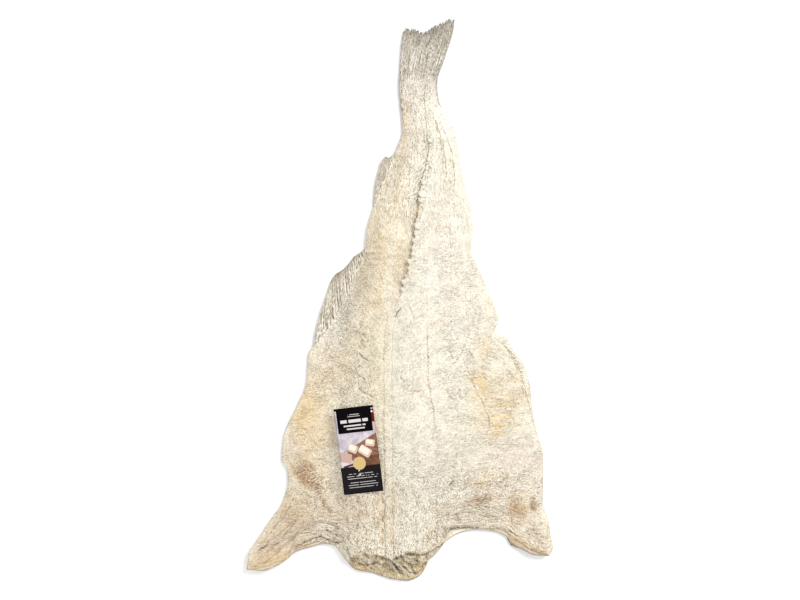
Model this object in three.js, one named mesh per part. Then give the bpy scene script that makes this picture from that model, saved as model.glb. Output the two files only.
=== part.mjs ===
// A split, salted and dried cod with the card tag that lies on it.
// The fish has no head, is opened flat along its back and lies flesh side up.
// Millimetres: +Y points to the tail, +X to the right with the tail away from the viewer, +Z up.
// The origin is under the middle of the fish, on the surface that it lies on.
import * as THREE from "three";
import { ParametricGeometry } from "three/addons/geometries/ParametricGeometry.js";
import { mergeVertices } from "three/addons/utils/BufferGeometryUtils.js";

// ---- Outline of the opened fish, as stations along its edges ----

const leftFlank = [ // [y, x] of the left edge without its anal fins, from the lug's tip to the tail
  [-380, -214], [-356, -211], [-338, -199], [-310, -181], [-285, -164], [-258, -157], [-240, -158],
  [-227, -166], [-195, -163], [-175, -156], [-150, -144], [-118, -131], [-80, -129], [-55, -111],
  [-10, -84], [40, -60], [65, -50], [100, -45], [130, -36], [197, -10], [218, -1], [232, 4],
  [272, 1], [300, -1], [337, 1], [381, 6],
];
const rightFlank = [ // [y, x] of the right edge, from the lug's tip to the tail
  [-361, 209], [-349, 215], [-332, 212], [-307, 208], [-288, 201], [-254, 202], [-220, 202],
  [-192, 194], [-159, 187], [-125, 184], [-92, 174], [-71, 159], [-57, 152], [-47, 134], [-33, 139],
  [-13, 134], [20, 121], [48, 108], [71, 101], [99, 104], [127, 100], [155, 93], [194, 85],
  [213, 82], [233, 78], [255, 66], [278, 55], [300, 53], [337, 64], [377, 76], [395, 78],
];
const headEdge = [ // [x, y] of the cut head end: left lug, arch, nape, arch, right lug
  [-214, -380], [-192, -382], [-174, -376], [-159, -367], [-145, -356], [-125, -350], [-105, -345],
  [-92, -347], [-84, -355], [-75, -368], [-62, -381], [-38, -386], [-13, -394], [11, -397],
  [25, -392], [35, -382], [39, -369], [50, -360], [63, -345], [90, -328], [108, -325], [130, -327],
  [150, -336], [158, -347], [172, -354], [190, -361], [209, -361],
];
const tailEdge = [ // [x, y] of the tail fin's trailing edge
  [6, 381], [20, 380], [34, 376], [44, 381], [60, 388], [72, 394], [78, 395],
];
const analFins = [ // the fins that stay on the left edge: where each starts and ends, and how far it stands out
  { start: -72, peak: 22, end: 64, height: 37 },
  { start: 115, peak: 186, end: 199, height: 12 },
];
const spine = [ // [y, x] of the line that the backbone was cut from
  [-397, -7], [-345, -8], [-254, -10], [-142, -15], [-44, -15], [-16, -7], [12, 7], [54, 18],
  [103, 26], [152, 32], [187, 40], [208, 44], [236, 41], [264, 36], [295, 34], [395, 42],
];

// ---- Thickness ----

const loinThickness = [ // [y, height of the thick flesh beside the spine]
  [-397, 26], [-345, 31], [-250, 35], [-120, 34], [0, 31], [100, 26], [200, 19], [270, 14],
  [300, 9], [318, 3],
];
const flapThickness = [ // [y, height of the thin belly flaps]
  [-397, 9], [-250, 9], [-60, 10], [60, 12], [200, 12], [270, 11], [300, 8], [318, 3],
];
const skinMargin = 2; // how far the skin shows past the flesh along the left flank, where no fin stands out
const finThickness = 2.6; // also the least thickness just inside any edge
const finRim = 2; // how far in from its edge a fin reaches its full thickness
const rimWidth = 9; // how far in from the edge the flesh reaches its full thickness
const napeSlope = 34; // length of the slanting cut face where the head was taken off
const napeHalfWidth = 62;
const napeMiddle = -12;
const loin = { rightOff: 33, rightWidth: 44, leftOff: 38, leftWidth: 34, leftShare: 0.78 };
const loinHalfSpan = 78; // half the fish's width at which the loins have their full breadth
const spineGroove = { depth: 7, width: 7 };
const edgeCurl = { height: 4, width: 30 }; // how far the drying edges lift off the surface
const flatBelow = 0.25; // what would curl less than this stays flat
const lugCurl = [ // the two collar lugs curl up further
  { x: -214, y: -380, height: 8, reach: 55 },
  { x: 212, y: -352, height: 7, reach: 48 },
];

// ---- Card tag ----

const card = { width: 56, length: 120, thickness: 0.8, x: -57, y: -211, turn: 7.2, roll: 9.5 };
const restGap = 0.35;

// ---- Mesh density ----

const columns = 32; // across the fish, half of them on each side of the spine
const finColumns = 3; // how many of them lie on the skin margin and the fins of the left flank
const rows = 62; // from head to tail
const crowding = 0.6; // 0 spaces rows and columns evenly, 1 crowds them towards the edges and the spine

const clamp01 = (t) => Math.min(1, Math.max(0, t));
const smooth = (t) => clamp01(t) ** 2 * (3 - 2 * clamp01(t));
const bell = (distance, width) => Math.exp(-((distance / width) ** 2));
const crowded = (t) => THREE.MathUtils.lerp(t, (1 - Math.cos(Math.PI * t)) / 2, crowding);
const first = (stations) => stations[0][0];
const last = (stations) => stations[stations.length - 1][0];

// A smooth curve through [position, value] stations that never overshoots them.
function through(stations) {
  const n = stations.length;
  const step = (i) => stations[i + 1][0] - stations[i][0];
  const slope = (i) => (stations[i + 1][1] - stations[i][1]) / step(i);
  const tangents = stations.map((_, i) => {
    if (i === 0) return slope(0);
    if (i === n - 1) return slope(n - 2);
    const [a, b] = [slope(i - 1), slope(i)];
    return a * b <= 0 ? 0 : (2 * a * b) / (a + b);
  });
  return (at) => {
    let i = 0;
    while (i < n - 2 && at > stations[i + 1][0]) i++;
    const h = step(i);
    const t = clamp01((at - stations[i][0]) / h);
    const [a, b] = [stations[i][1], stations[i + 1][1]];
    const rise = (t ** 3 - 2 * t ** 2 + t) * tangents[i] + (t ** 3 - t ** 2) * tangents[i + 1];
    return a * (2 * t ** 3 - 3 * t ** 2 + 1) + b * (3 * t ** 2 - 2 * t ** 3) + h * rise;
  };
}

const leftAt = through(leftFlank);
const rightAt = through(rightFlank);
const headAt = through(headEdge);
const tailAt = through(tailEdge);
const spineAt = through(spine);
const loinAt = through(loinThickness);
const flapAt = through(flapThickness);

// How far the anal fins stand out of the left flank at y.
function finReach(y) {
  return analFins.reduce((reach, fin) => {
    if (y <= fin.start || y >= fin.end) return reach;
    const along = y < fin.peak
      ? (y - fin.start) / (fin.peak - fin.start)
      : Math.sqrt((fin.end - y) / (fin.end - fin.peak));
    return reach + fin.height * along;
  }, 0);
}

// Across the fish: the first columns cover the fins and the skin margin, and the middle one follows the spine.
function acrossAt(outer, flesh, middle, right, u) {
  const finShare = finColumns / columns;
  if (u < finShare) return THREE.MathUtils.lerp(outer, flesh, u / finShare);
  if (u < 0.5) return THREE.MathUtils.lerp(flesh, middle, crowded((u - finShare) / (0.5 - finShare)));
  return THREE.MathUtils.lerp(middle, right, crowded(2 * u - 1));
}

// The place (x, y) of a point u across and v along the fish, each from 0 to 1, how far it is from the outline,
// and how far from the edge of the flesh, which is negative on an anal fin.
function planPoint(u, v) {
  const yLeft = THREE.MathUtils.lerp(first(leftFlank), last(leftFlank), v);
  const yRight = THREE.MathUtils.lerp(first(rightFlank), last(rightFlank), v);
  const xOuter = leftAt(yLeft) - finReach(yLeft);
  const xFlesh = leftAt(yLeft) + skinMargin;
  const xRight = rightAt(yRight);
  const x = acrossAt(xOuter, xFlesh, spineAt((yLeft + yRight) / 2), xRight, u);
  const share = (x - xOuter) / (xRight - xOuter);
  const headBow = headAt(THREE.MathUtils.lerp(first(headEdge), last(headEdge), share))
    - THREE.MathUtils.lerp(first(leftFlank), first(rightFlank), share);
  const tailBow = tailAt(THREE.MathUtils.lerp(first(tailEdge), last(tailEdge), share))
    - THREE.MathUtils.lerp(last(leftFlank), last(rightFlank), share);
  const level = THREE.MathUtils.lerp(yLeft, yRight, share);
  const y = level + headBow * (1 - v) ** 6 + tailBow * v ** 12;
  const length = last(leftFlank) - first(leftFlank);
  const fromHead = v * length;
  const nearest = (fromLeft) => Math.min(fromLeft, xRight - x, fromHead, (1 - v) * length);
  return { x, y, fromHead, edge: nearest(x - xOuter), fleshEdge: nearest(x - xFlesh) };
}

// Full thickness of the fish at (x, y), before its rim is rounded.
function flesh(x, y) {
  const half = (rightAt(y) - leftAt(y)) / 2;
  const breadth = Math.min(1, half / loinHalfSpan);
  const off = (x - spineAt(y)) / breadth;
  const right = bell(off - loin.rightOff, loin.rightWidth);
  const left = loin.leftShare * bell(off + loin.leftOff, loin.leftWidth);
  const groove = spineGroove.depth * bell(off, spineGroove.width) * smooth((300 - y) / 60);
  const share = Math.min(1, right + left);
  return flapAt(y) + (loinAt(y) - flapAt(y)) * share - groove * smooth((y + 397) / 60);
}

// Underside height: flat in the middle, lifting towards the dried edges and the lugs.
function underside(x, y, edge) {
  const curl = edgeCurl.height * smooth(1 - edge / edgeCurl.width) ** 2;
  return lugCurl.reduce((z, lug) => z + lug.height * bell(Math.hypot(x - lug.x, y - lug.y), lug.reach), curl);
}

// The place of a point across and along the fish, and the heights of its skin side and its flesh side.
function heights(u, v) {
  const { x, y, fromHead, edge, fleshEdge } = planPoint(u, v);
  const low = Math.max(0, underside(x, y, edge) - flatBelow);
  const atNape = smooth(1.6 - Math.abs(x - napeMiddle) / napeHalfWidth);
  const slope = THREE.MathUtils.lerp(1, smooth(fromHead / napeSlope), atNape);
  const rim = Math.sqrt(1 - (1 - clamp01(fleshEdge / rimWidth)) ** 2);
  const thick = Math.max(flesh(x, y) * rim * slope, finThickness * clamp01(edge / finRim));
  return { x, y, low, high: low + thick };
}

// Runs left to right over the flesh side for the first half of across, and back under the skin side for the rest.
function fishSurface(across, along, target) {
  const onTop = across <= 0.5;
  const place = heights(onTop ? 2 * across : 2 - 2 * across, crowded(along));
  target.set(place.x, place.y, onTop ? place.high : place.low);
}

function closedSurface(geometry) {
  geometry.deleteAttribute("normal");
  geometry.deleteAttribute("uv");
  const merged = mergeVertices(geometry, 1e-3);
  merged.computeVertexNormals();
  return merged;
}

const driedFlesh = new THREE.MeshStandardMaterial({ color: 0xf0e6cf, roughness: 0.85, metalness: 0 });
const darkCard = new THREE.MeshStandardMaterial({ color: 0x1c1a1d, roughness: 0.45, metalness: 0 });

const fish = new THREE.Mesh(closedSurface(new ParametricGeometry(fishSurface, 2 * columns, rows)), driedFlesh);
fish.name = "cod";

// The card lies on the highest spots of the flesh under it, rolled to the slope of the loin.
function restingCard() {
  const mesh = new THREE.Mesh(new THREE.BoxGeometry(card.width, card.length, card.thickness), darkCard);
  mesh.name = "card_tag";
  mesh.position.set(card.x, card.y, 0);
  mesh.rotation.set(0, THREE.MathUtils.degToRad(-card.roll), THREE.MathUtils.degToRad(card.turn), "ZYX");
  mesh.updateMatrix();
  const toCard = mesh.matrix.clone().invert();
  const normal = new THREE.Vector3(0, 0, 1).transformDirection(mesh.matrix);
  const spots = fish.geometry.attributes.position;
  const reach = 12; // takes in the facets that stick out under the card's border
  let lift = 0;
  for (let i = 0; i < spots.count; i++) {
    const spot = new THREE.Vector3().fromBufferAttribute(spots, i).applyMatrix4(toCard);
    if (Math.abs(spot.x) > card.width / 2 + reach || Math.abs(spot.y) > card.length / 2 + reach) continue;
    lift = Math.max(lift, spot.z / normal.z);
  }
  mesh.position.z = lift + (restGap + card.thickness / 2) / normal.z;
  return mesh;
}

const root = new THREE.Group();
root.add(fish, restingCard());
const middle = new THREE.Box3().setFromObject(root).getCenter(new THREE.Vector3());
root.position.set(-middle.x, -middle.y, 0); // the stations are half a millimetre or so off the fish's middle

export default root;
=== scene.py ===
# A split, salted and dried cod with its card tag, lying flesh side up.
# Sizes in the dictionaries are millimetres: +Y to the tail, +X to the right flank, +Z up.
import math

import bpy
import numpy as np
from mathutils import Matrix, Vector


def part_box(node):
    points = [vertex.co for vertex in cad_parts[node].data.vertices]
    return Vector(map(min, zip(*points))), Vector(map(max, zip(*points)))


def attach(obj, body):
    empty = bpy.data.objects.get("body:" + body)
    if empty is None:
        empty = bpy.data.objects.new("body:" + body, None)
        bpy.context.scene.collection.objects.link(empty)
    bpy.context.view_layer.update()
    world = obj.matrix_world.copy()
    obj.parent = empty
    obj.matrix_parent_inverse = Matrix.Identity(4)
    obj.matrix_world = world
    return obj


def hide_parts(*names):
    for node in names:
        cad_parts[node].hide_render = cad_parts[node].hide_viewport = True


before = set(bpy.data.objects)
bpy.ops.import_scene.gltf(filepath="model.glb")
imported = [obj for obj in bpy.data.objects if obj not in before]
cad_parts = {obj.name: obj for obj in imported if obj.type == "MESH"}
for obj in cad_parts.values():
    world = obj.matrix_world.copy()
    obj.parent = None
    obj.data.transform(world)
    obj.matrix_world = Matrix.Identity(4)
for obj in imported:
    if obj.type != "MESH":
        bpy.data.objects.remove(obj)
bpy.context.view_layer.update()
mm = 0.001


# Curves and noise, on whole arrays at once


def clamp(t):
    return np.clip(t, 0, 1)


def smooth(t):
    return clamp(t) ** 2 * (3 - 2 * clamp(t))


def bell(distance, width):
    return np.exp(-((distance / width) ** 2))


def lerp(a, b, t):
    return a + (b - a) * t


def through(stations):  # a smooth curve through [position, value] stations that never overshoots them
    at, value = np.array(stations, float).T
    step = np.diff(at)
    slope = np.diff(value) / step
    before, after = slope[:-1], slope[1:]
    total = np.where(before + after == 0, 1, before + after)
    inner = np.where(before * after > 0, 2 * before * after / total, 0)
    tangent = np.concatenate([slope[:1], inner, slope[-1:]])

    def curve(position):
        i = np.clip(np.searchsorted(at, position, side="right") - 1, 0, len(step) - 1)
        t = clamp((position - at[i]) / step[i])
        rise = (t**3 - 2 * t**2 + t) * tangent[i] + (t**3 - t**2) * tangent[i + 1]
        return lerp(value[i], value[i + 1], smooth(t)) + step[i] * rise

    return curve


def noise(x, y, seed):  # smooth noise from about -1 to 1, one bump to a unit
    angle = np.random.default_rng(seed).uniform(0, 2 * math.pi, (256, 256))
    column, row = np.floor(x).astype(int), np.floor(y).astype(int)
    fx, fy = x - column, y - row

    def corner(right, up):
        turn = angle[(column + right) % 256, (row + up) % 256]
        return np.cos(turn) * (fx - right) + np.sin(turn) * (fy - up)

    lower = lerp(corner(0, 0), corner(1, 0), smooth(fx))
    upper = lerp(corner(0, 1), corner(1, 1), smooth(fx))
    return 1.5 * lerp(lower, upper, smooth(fy))


def turned(x, y, angle):
    return x * math.cos(angle) + y * math.sin(angle), y * math.cos(angle) - x * math.sin(angle)


def layered(x, y, layers, seed):  # several sizes of noise, each half as large as the last
    total = 0
    for k in range(layers):
        size = 2**k
        total = total + noise(x * size + 17.3 * k, y * size - 9.1 * k, seed + k) / size
    return total


def crumple(x, y, layers, seed):  # puffs from 0 to about 1 with sharp creases between them
    total = 0
    for k in range(layers):
        size = 1.8**k
        a, b = turned(x * size + 5.7 * k, y * size + 3.1 * k, 0.6 + 1.1 * k)
        total = total + np.abs(noise(a, b, seed + k)) / size
    return total


def polyline(x, y, points):  # distance from a line through the points, and how far along it from 0 to 1
    nearest, along = np.full(x.shape, 1e9), np.zeros(x.shape)
    stretches = list(zip(points, points[1:]))
    for i, ((ax, ay), (bx, by)) in enumerate(stretches):
        length = math.hypot(bx - ax, by - ay)
        t = clamp(((x - ax) * (bx - ax) + (y - ay) * (by - ay)) / length**2)
        distance = np.hypot(x - lerp(ax, bx, t), y - lerp(ay, by, t))
        closer = distance < nearest
        nearest = np.where(closer, distance, nearest)
        along = np.where(closer, (i + t) / len(stretches), along)
    return nearest, along


def carved(x, y, lines):  # ridges and grooves, each [height, half width, points]
    total = np.zeros(x.shape)
    for height, half, points in lines:
        distance, along = polyline(x, y, points)
        total += height * bell(distance, half) * smooth(along * 6 + 0.3) * smooth((1 - along) * 6 + 0.3)
    return total


def drawn(x, y, lines):  # relief and strength of drawn lines, each [half width, height, points]
    relief, mask = np.zeros(x.shape), np.zeros(x.shape)
    for half, height, points in lines:
        distance, along = polyline(x, y, points)
        line = bell(distance, half) * smooth(along * 6 + 0.3) * smooth((1 - along) * 6 + 0.3)
        relief += height * line
        mask = np.maximum(mask, line)
    return relief, mask


def blobs(x, y, spots):  # soft ovals, each [x, y, half length, half width, turn in degrees, strength]
    total = np.zeros(x.shape)
    for spotX, spotY, length, width, turn, strength in spots:
        along, off = turned(x - spotX, y - spotY, math.radians(turn))
        total = np.maximum(total, strength * np.exp(-((along / length) ** 2) - (off / width) ** 2))
    return total


# Outline of the opened fish

outline = {
    "leftFlank": [  # [y, x] without the anal fins, from the collar lug's tip to the tail
        [-380, -214], [-356, -211], [-338, -199], [-310, -181], [-285, -164], [-258, -157], [-240, -158],
        [-227, -166], [-195, -163], [-175, -156], [-150, -144], [-118, -131], [-80, -129], [-55, -111],
        [-10, -84], [40, -60], [65, -50], [100, -45], [130, -36], [197, -10], [218, -1], [232, 4],
        [272, 1], [300, -1], [337, 1], [381, 6],
    ],
    "rightFlank": [  # [y, x]
        [-361, 209], [-349, 215], [-332, 212], [-307, 208], [-288, 201], [-254, 202], [-220, 202],
        [-192, 194], [-159, 187], [-125, 184], [-92, 174], [-71, 159], [-57, 152], [-47, 134], [-33, 139],
        [-13, 134], [20, 121], [48, 108], [71, 101], [99, 104], [127, 100], [155, 93], [194, 85],
        [213, 82], [233, 78], [255, 66], [278, 55], [300, 53], [337, 64], [377, 76], [395, 78],
    ],
    "headEdge": [  # [x, y] left lug, arch, nape, arch, right lug
        [-214, -380], [-192, -382], [-174, -376], [-159, -367], [-145, -356], [-125, -350], [-105, -345],
        [-92, -347], [-84, -355], [-75, -368], [-62, -381], [-38, -386], [-13, -394], [11, -397],
        [25, -392], [35, -382], [39, -369], [50, -360], [63, -345], [90, -328], [108, -325], [130, -327],
        [150, -336], [158, -347], [172, -354], [190, -361], [209, -361],
    ],
    "tailEdge": [[6, 381], [20, 380], [34, 376], [44, 381], [60, 388], [72, 394], [78, 395]],  # [x, y]
    "fleshEnd": [  # [x, y] where the flesh runs out on the tail fin
        [-1, 276], [4, 289], [10, 306], [18, 317], [26, 311], [32, 303], [40, 308], [48, 309], [55, 302],
        [62, 294],
    ],
    "spine": [  # [y, x] of the line that the backbone was cut from
        [-397, -12], [-345, -14], [-250, -15], [-142, -16], [-60, -15.5], [-16, -8], [12, 4.5], [29, 8.5],
        [50, 14.5], [80, 20.5], [104, 22.5], [127, 27], [158, 30.5], [190, 38], [207, 41], [226, 39],
        [264, 36], [295, 34.5], [395, 42],
    ],
    "analFins": [[-72, 22, 64, 37], [115, 186, 201, 10]],  # [start, peak, end, how far each stands out]
    "skinShows": [  # [x, how far the flesh stops short of the cut head edge]
        [-214, 0], [-158, 0], [-146, 4], [-120, 5], [-102, 0], [58, 0], [66, 13], [86, 5], [106, 1], [128, 2],
        [150, 7], [166, 10], [182, 7], [200, 2], [209, 0],
    ],
    "skinBare": [[-380, 0], [236, 0], [262, 2.2], [300, 3], [395, 3]],  # [y, the same along the left flank]
    "wander": [[-397, 1.2], [-20, 1.2], [10, 1.6], [160, 1.5], [210, 0.5], [395, 0.5]],  # [y, spine's waver]
    "seamWidth": 5.3, "gap": 0.5,
}
leftAt = through(outline["leftFlank"])
rightAt = through(outline["rightFlank"])
headAt = through(outline["headEdge"])
tailAt = through(outline["tailEdge"])
spineAt = through(outline["spine"])
skinShowsAt = through(outline["skinShows"])
skinBareAt = through(outline["skinBare"])
fleshEndAt = through(outline["fleshEnd"])
wanderAt = through(outline["wander"])
tailLeft, tailRight = outline["leftFlank"][-1][0], outline["rightFlank"][-1][0]
headLeft, headRight = outline["leftFlank"][0][0], outline["rightFlank"][0][0]
fishLength = tailLeft - headLeft

thickness = {
    "loin": [  # [y, height beside the spine]
        [-397, 25], [-345, 30], [-250, 34], [-120, 33], [0, 30], [100, 25], [200, 18], [264, 12], [288, 5],
        [318, 1.2],
    ],
    "flap": [[-397, 8], [-250, 8.5], [-60, 9], [60, 11], [200, 11], [264, 9], [288, 4.5], [318, 1.1]],
    "atEdge": 0.27, "edgeTaper": 20,  # share left at the dried rim, and how far in
    "rightOff": 33, "rightWidth": 44, "leftOff": 38, "leftWidth": 34, "leftShare": 0.78, "halfSpan": 78,
    "curl": 4, "curlWidth": 30, "flatBelow": 0.25,
    "lugs": [[-214, -380, 8, 55], [212, -352, 7, 48]],  # [x, y, lift, reach]
    "skin": 0.7,
}
loinAt = through(thickness["loin"])
flapAt = through(thickness["flap"])


def splitAt(y):  # the line between the two fillets: the groove, and further on the seam strip's right side
    seam = outline["seamWidth"] * smooth((-8 - y) / 24)
    return spineAt(y) + seam + wanderAt(y) * layered(y / 15, 0 * y, 3, 31)


def gapAt(y):  # how far the right fillet's torn edge stands back from that line
    torn = clamp(1.3 * layered(y / 6, 0 * y, 2, 37) - 0.05)
    return outline["gap"] * torn * smooth((y - 10) / 30) * smooth((225 - y) / 30)


def finReach(y):  # how far the anal fins stand out of the left flank
    total = 0 * y
    for start, peak, end, height in outline["analFins"]:
        rising = (y - start) / (peak - start)
        falling = np.sqrt(np.maximum(end - y, 0) / (end - peak))
        total = total + height * np.where((y > start) & (y < end), np.minimum(rising, falling), 0)
    return total


def plan(u, v, wear, tailEnd, side="whole"):
    # The place of a point u across and v along the fish or one fillet, where 1 along is the flesh's tail end.
    # wear draws the edge in by a ragged margin. rim is the distance from the outline with its fins.
    o = outline
    plainLeft, plainRight = lerp(headLeft, tailLeft, v * tailEnd), lerp(headRight, tailRight, v * tailEnd)
    ragged = 1 + 0.8 * layered(plainLeft / 9, 0 * v, 3, 11)
    raggedRight = 1 + 0.8 * layered(plainRight / 9, 0 * v, 3, 12)

    def level(share):
        headX = lerp(o["headEdge"][0][0], o["headEdge"][-1][0], share)
        headBow = headAt(headX) - lerp(headLeft, headRight, share)
        torn = 8 * np.abs(layered(headX / 6, 0 * u, 3, 15)) * bell(headX + 14, 52)
        headBow = headBow + wear * (1 + torn + layered(headX / 8, 0 * u, 3, 13) + 1.4 * skinShowsAt(headX))
        plain = lerp(plainLeft, plainRight, share)
        tailX = lerp(xLeft, xRight, share)
        tailBow = fleshEndAt(tailX) + 4.5 * layered(tailX / 5, 0 * u, 3, 14) - plain
        return plain + headBow * (1 - v * tailEnd) ** 6 + tailBow * v**14

    yLeft, yRight = plainLeft, plainRight
    for _ in range(4):
        xLeft = leftAt(yLeft) + wear * (ragged + skinBareAt(yLeft))
        xRight = rightAt(yRight) - wear * raggedRight
        yLeft, yRight = level(0 * v), level(0 * v + 1)
    if side != "whole":
        part = np.full(v.shape, 0.5)
        for _ in range(6):
            seam = splitAt(level(part)) + (gapAt(level(part)) if side == "right" else 0)
            part = part + (seam - lerp(xLeft, xRight, part)) / (xRight - xLeft)
        u = u * part if side == "left" else lerp(part, 1, u)
    x, y = lerp(xLeft, xRight, u), level(u)
    fromHead, fromTail = v * tailEnd * fishLength, (1 - v) * tailEnd * fishLength
    sides = np.minimum(x - xLeft, xRight - x)
    edge = np.maximum(np.minimum(sides, np.minimum(fromHead, fromTail)), 0)
    outer = np.minimum(x - leftAt(y) + finReach(y), rightAt(y) - x)
    rim = np.maximum(np.minimum(outer, np.minimum(fromHead, (1 - v * tailEnd) * fishLength)), 0)
    return {"x": x, "y": y, "fromHead": fromHead, "edge": edge, "rim": rim, "off": x - splitAt(y)}


def underside(x, y, rim):  # flat in the middle, lifting towards the dried edges and the lugs
    t = thickness
    lift = t["curl"] * smooth(1 - rim / t["curlWidth"]) ** 2 * (1 + 0.35 * noise(x / 34, y / 34, 21))
    for lugX, lugY, height, reach in t["lugs"]:
        lift = lift + height * bell(np.hypot(x - lugX, y - lugY), reach)
    return np.maximum(0, lift - t["flatBelow"])


def fullFlesh(x, y):
    t = thickness
    breadth = np.minimum(1, (rightAt(y) - leftAt(y)) / 2 / t["halfSpan"])
    off = (x - spineAt(y)) / breadth
    right, left = bell(off - t["rightOff"], t["rightWidth"]), bell(off + t["leftOff"], t["leftWidth"])
    share = right + t["leftShare"] * left
    return flapAt(y) + (loinAt(y) - flapAt(y)) * np.minimum(1, share)


# The stations aren't quite centred, so everything moves onto the CAD fish's own box.
cadLow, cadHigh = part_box("cod")
stationX = [min(x for y, x in outline["leftFlank"]), max(x for y, x in outline["rightFlank"])]
stationY = [min(y for x, y in outline["headEdge"]), max(y for x, y in outline["tailEdge"])]
shift = (cadLow + cadHigh) / 2 - Vector((sum(stationX), sum(stationY), 0)) * mm / 2
shift.z = 0
ceiling = cadHigh.z / mm - 0.3


def metres(x, y, z):  # from the stations' millimetres to the frame
    return np.stack([x * mm + shift.x, y * mm + shift.y, z * mm + 0 * x], axis=-1)


# Meshes


def addMasks(mesh, masks):
    for name, values in masks.items():
        attribute = mesh.attributes.new(name, "FLOAT", "POINT")
        attribute.data.foreach_set("value", np.ravel(values).astype(np.float32))


def placeObject(name, mesh):
    made = bpy.data.objects.new(name, mesh)
    bpy.context.scene.collection.objects.link(made)
    return made


def makePiece(name, points, faces, material, masks=None):
    mesh = bpy.data.meshes.new(name)
    mesh.from_pydata([tuple(p) for p in points], [], faces)
    mesh.update()
    addMasks(mesh, masks or {})
    mesh.materials.append(material)
    mesh.shade_smooth()
    return placeObject(name, mesh)


def closedSheet(name, fine, plain, step, material, masks, flip=False):
    # A fine sheet, closed behind by every step-th point of the plain sheet. It faces up, or down if flipped.
    # The masks hold on both, and "front" is 1 on the fine one.
    rows, columns = fine.shape[0] - 1, fine.shape[1] - 1
    points = list(fine.reshape(-1, 3))
    index = {}
    for r in range(0, rows + 1, step):
        for c in range(0, columns + 1, step):
            if r not in (0, rows) and c not in (0, columns):
                index[r, c] = len(points)
                points.append(plain[r, c])
    faces = []
    for r in range(rows):
        for c in range(columns):
            a = r * (columns + 1) + c
            faces.append([a, a + 1, a + columns + 2, a + columns + 1])
    for r in range(0, rows, step):
        for c in range(0, columns, step):
            upTo, across = r + step, c + step
            left = [(k, c) for k in range(r, upTo, 1 if c == 0 else step)]
            far = [(upTo, k) for k in range(c, across, 1 if upTo == rows else step)]
            right = [(k, across) for k in range(upTo, r, -1 if across == columns else -step)]
            near = [(r, k) for k in range(across, c, -1 if r == 0 else -step)]
            ring = left + far + right + near
            faces.append([index.get(p, p[0] * (columns + 1) + p[1]) for p in ring])
    if flip:
        faces = [face[::-1] for face in faces]
    whole = {"front": np.append(np.ones(fine.shape[:2]), np.zeros(len(index)))}
    for key, values in masks.items():
        whole[key] = np.append(values, [values[spot] for spot in index])
    return makePiece(name, points, faces, material, whole)


def blurred(values, times):
    out = values
    for _ in range(times):
        padded = np.pad(out, 1, mode="edge")
        out = (padded[:-2, 1:-1] + padded[2:, 1:-1] + padded[1:-1, :-2] + padded[1:-1, 2:] + 4 * out) / 8
    return out


# Node trees


class Wire:  # an output socket, with its maths written as Python expressions
    def __init__(self, graph, socket):
        self.graph = graph
        self.socket = socket

    def maths(self, operation, a, b):
        return self.graph.node("ShaderNodeMath", {"operation": operation}, {0: a, 1: b})

    def __add__(self, other):
        return self.maths("ADD", self, other)

    def __radd__(self, other):
        return self.maths("ADD", other, self)

    def __sub__(self, other):
        return self.maths("SUBTRACT", self, other)

    def __rsub__(self, other):
        return self.maths("SUBTRACT", other, self)

    def __mul__(self, other):
        return self.maths("MULTIPLY", self, other)

    def __rmul__(self, other):
        return self.maths("MULTIPLY", other, self)

    def __truediv__(self, other):
        return self.maths("DIVIDE", self, other)

    def __pow__(self, other):
        return self.maths("POWER", self, other)

    def __abs__(self):
        return self.maths("ABSOLUTE", self, 0.0)

    def most(self, other):
        return self.maths("MAXIMUM", self, other)

    def sine(self):
        return self.maths("SINE", self, 0.0)

    def between(self, low, high):  # 0 at low, 1 at high
        settings = {"clamp": True, "interpolation_type": "SMOOTHSTEP"}
        inputs = {"Value": self, "From Min": low, "From Max": high}
        return self.graph.node("ShaderNodeMapRange", settings, inputs)


class Graph:  # a node tree, filled one node at a time
    def __init__(self, tree):
        self.tree = tree

    def node(self, kind, settings, inputs, output=0):
        made = self.tree.nodes.new(kind)
        for name, value in settings.items():
            setattr(made, name, value)
        for key, value in inputs.items():
            if isinstance(value, Wire):
                self.tree.links.new(value.socket, made.inputs[key])
            else:
                made.inputs[key].default_value = value
        return Wire(self, made.outputs[output]) if len(made.outputs) else made


def linear(red, green, blue):  # from the 0 to 255 values of a colour chart
    parts = [c / 255 for c in (red, green, blue)]
    return tuple(c / 12.92 if c <= 0.04045 else ((c + 0.055) / 1.055) ** 2.4 for c in parts) + (1.0,)


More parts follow.
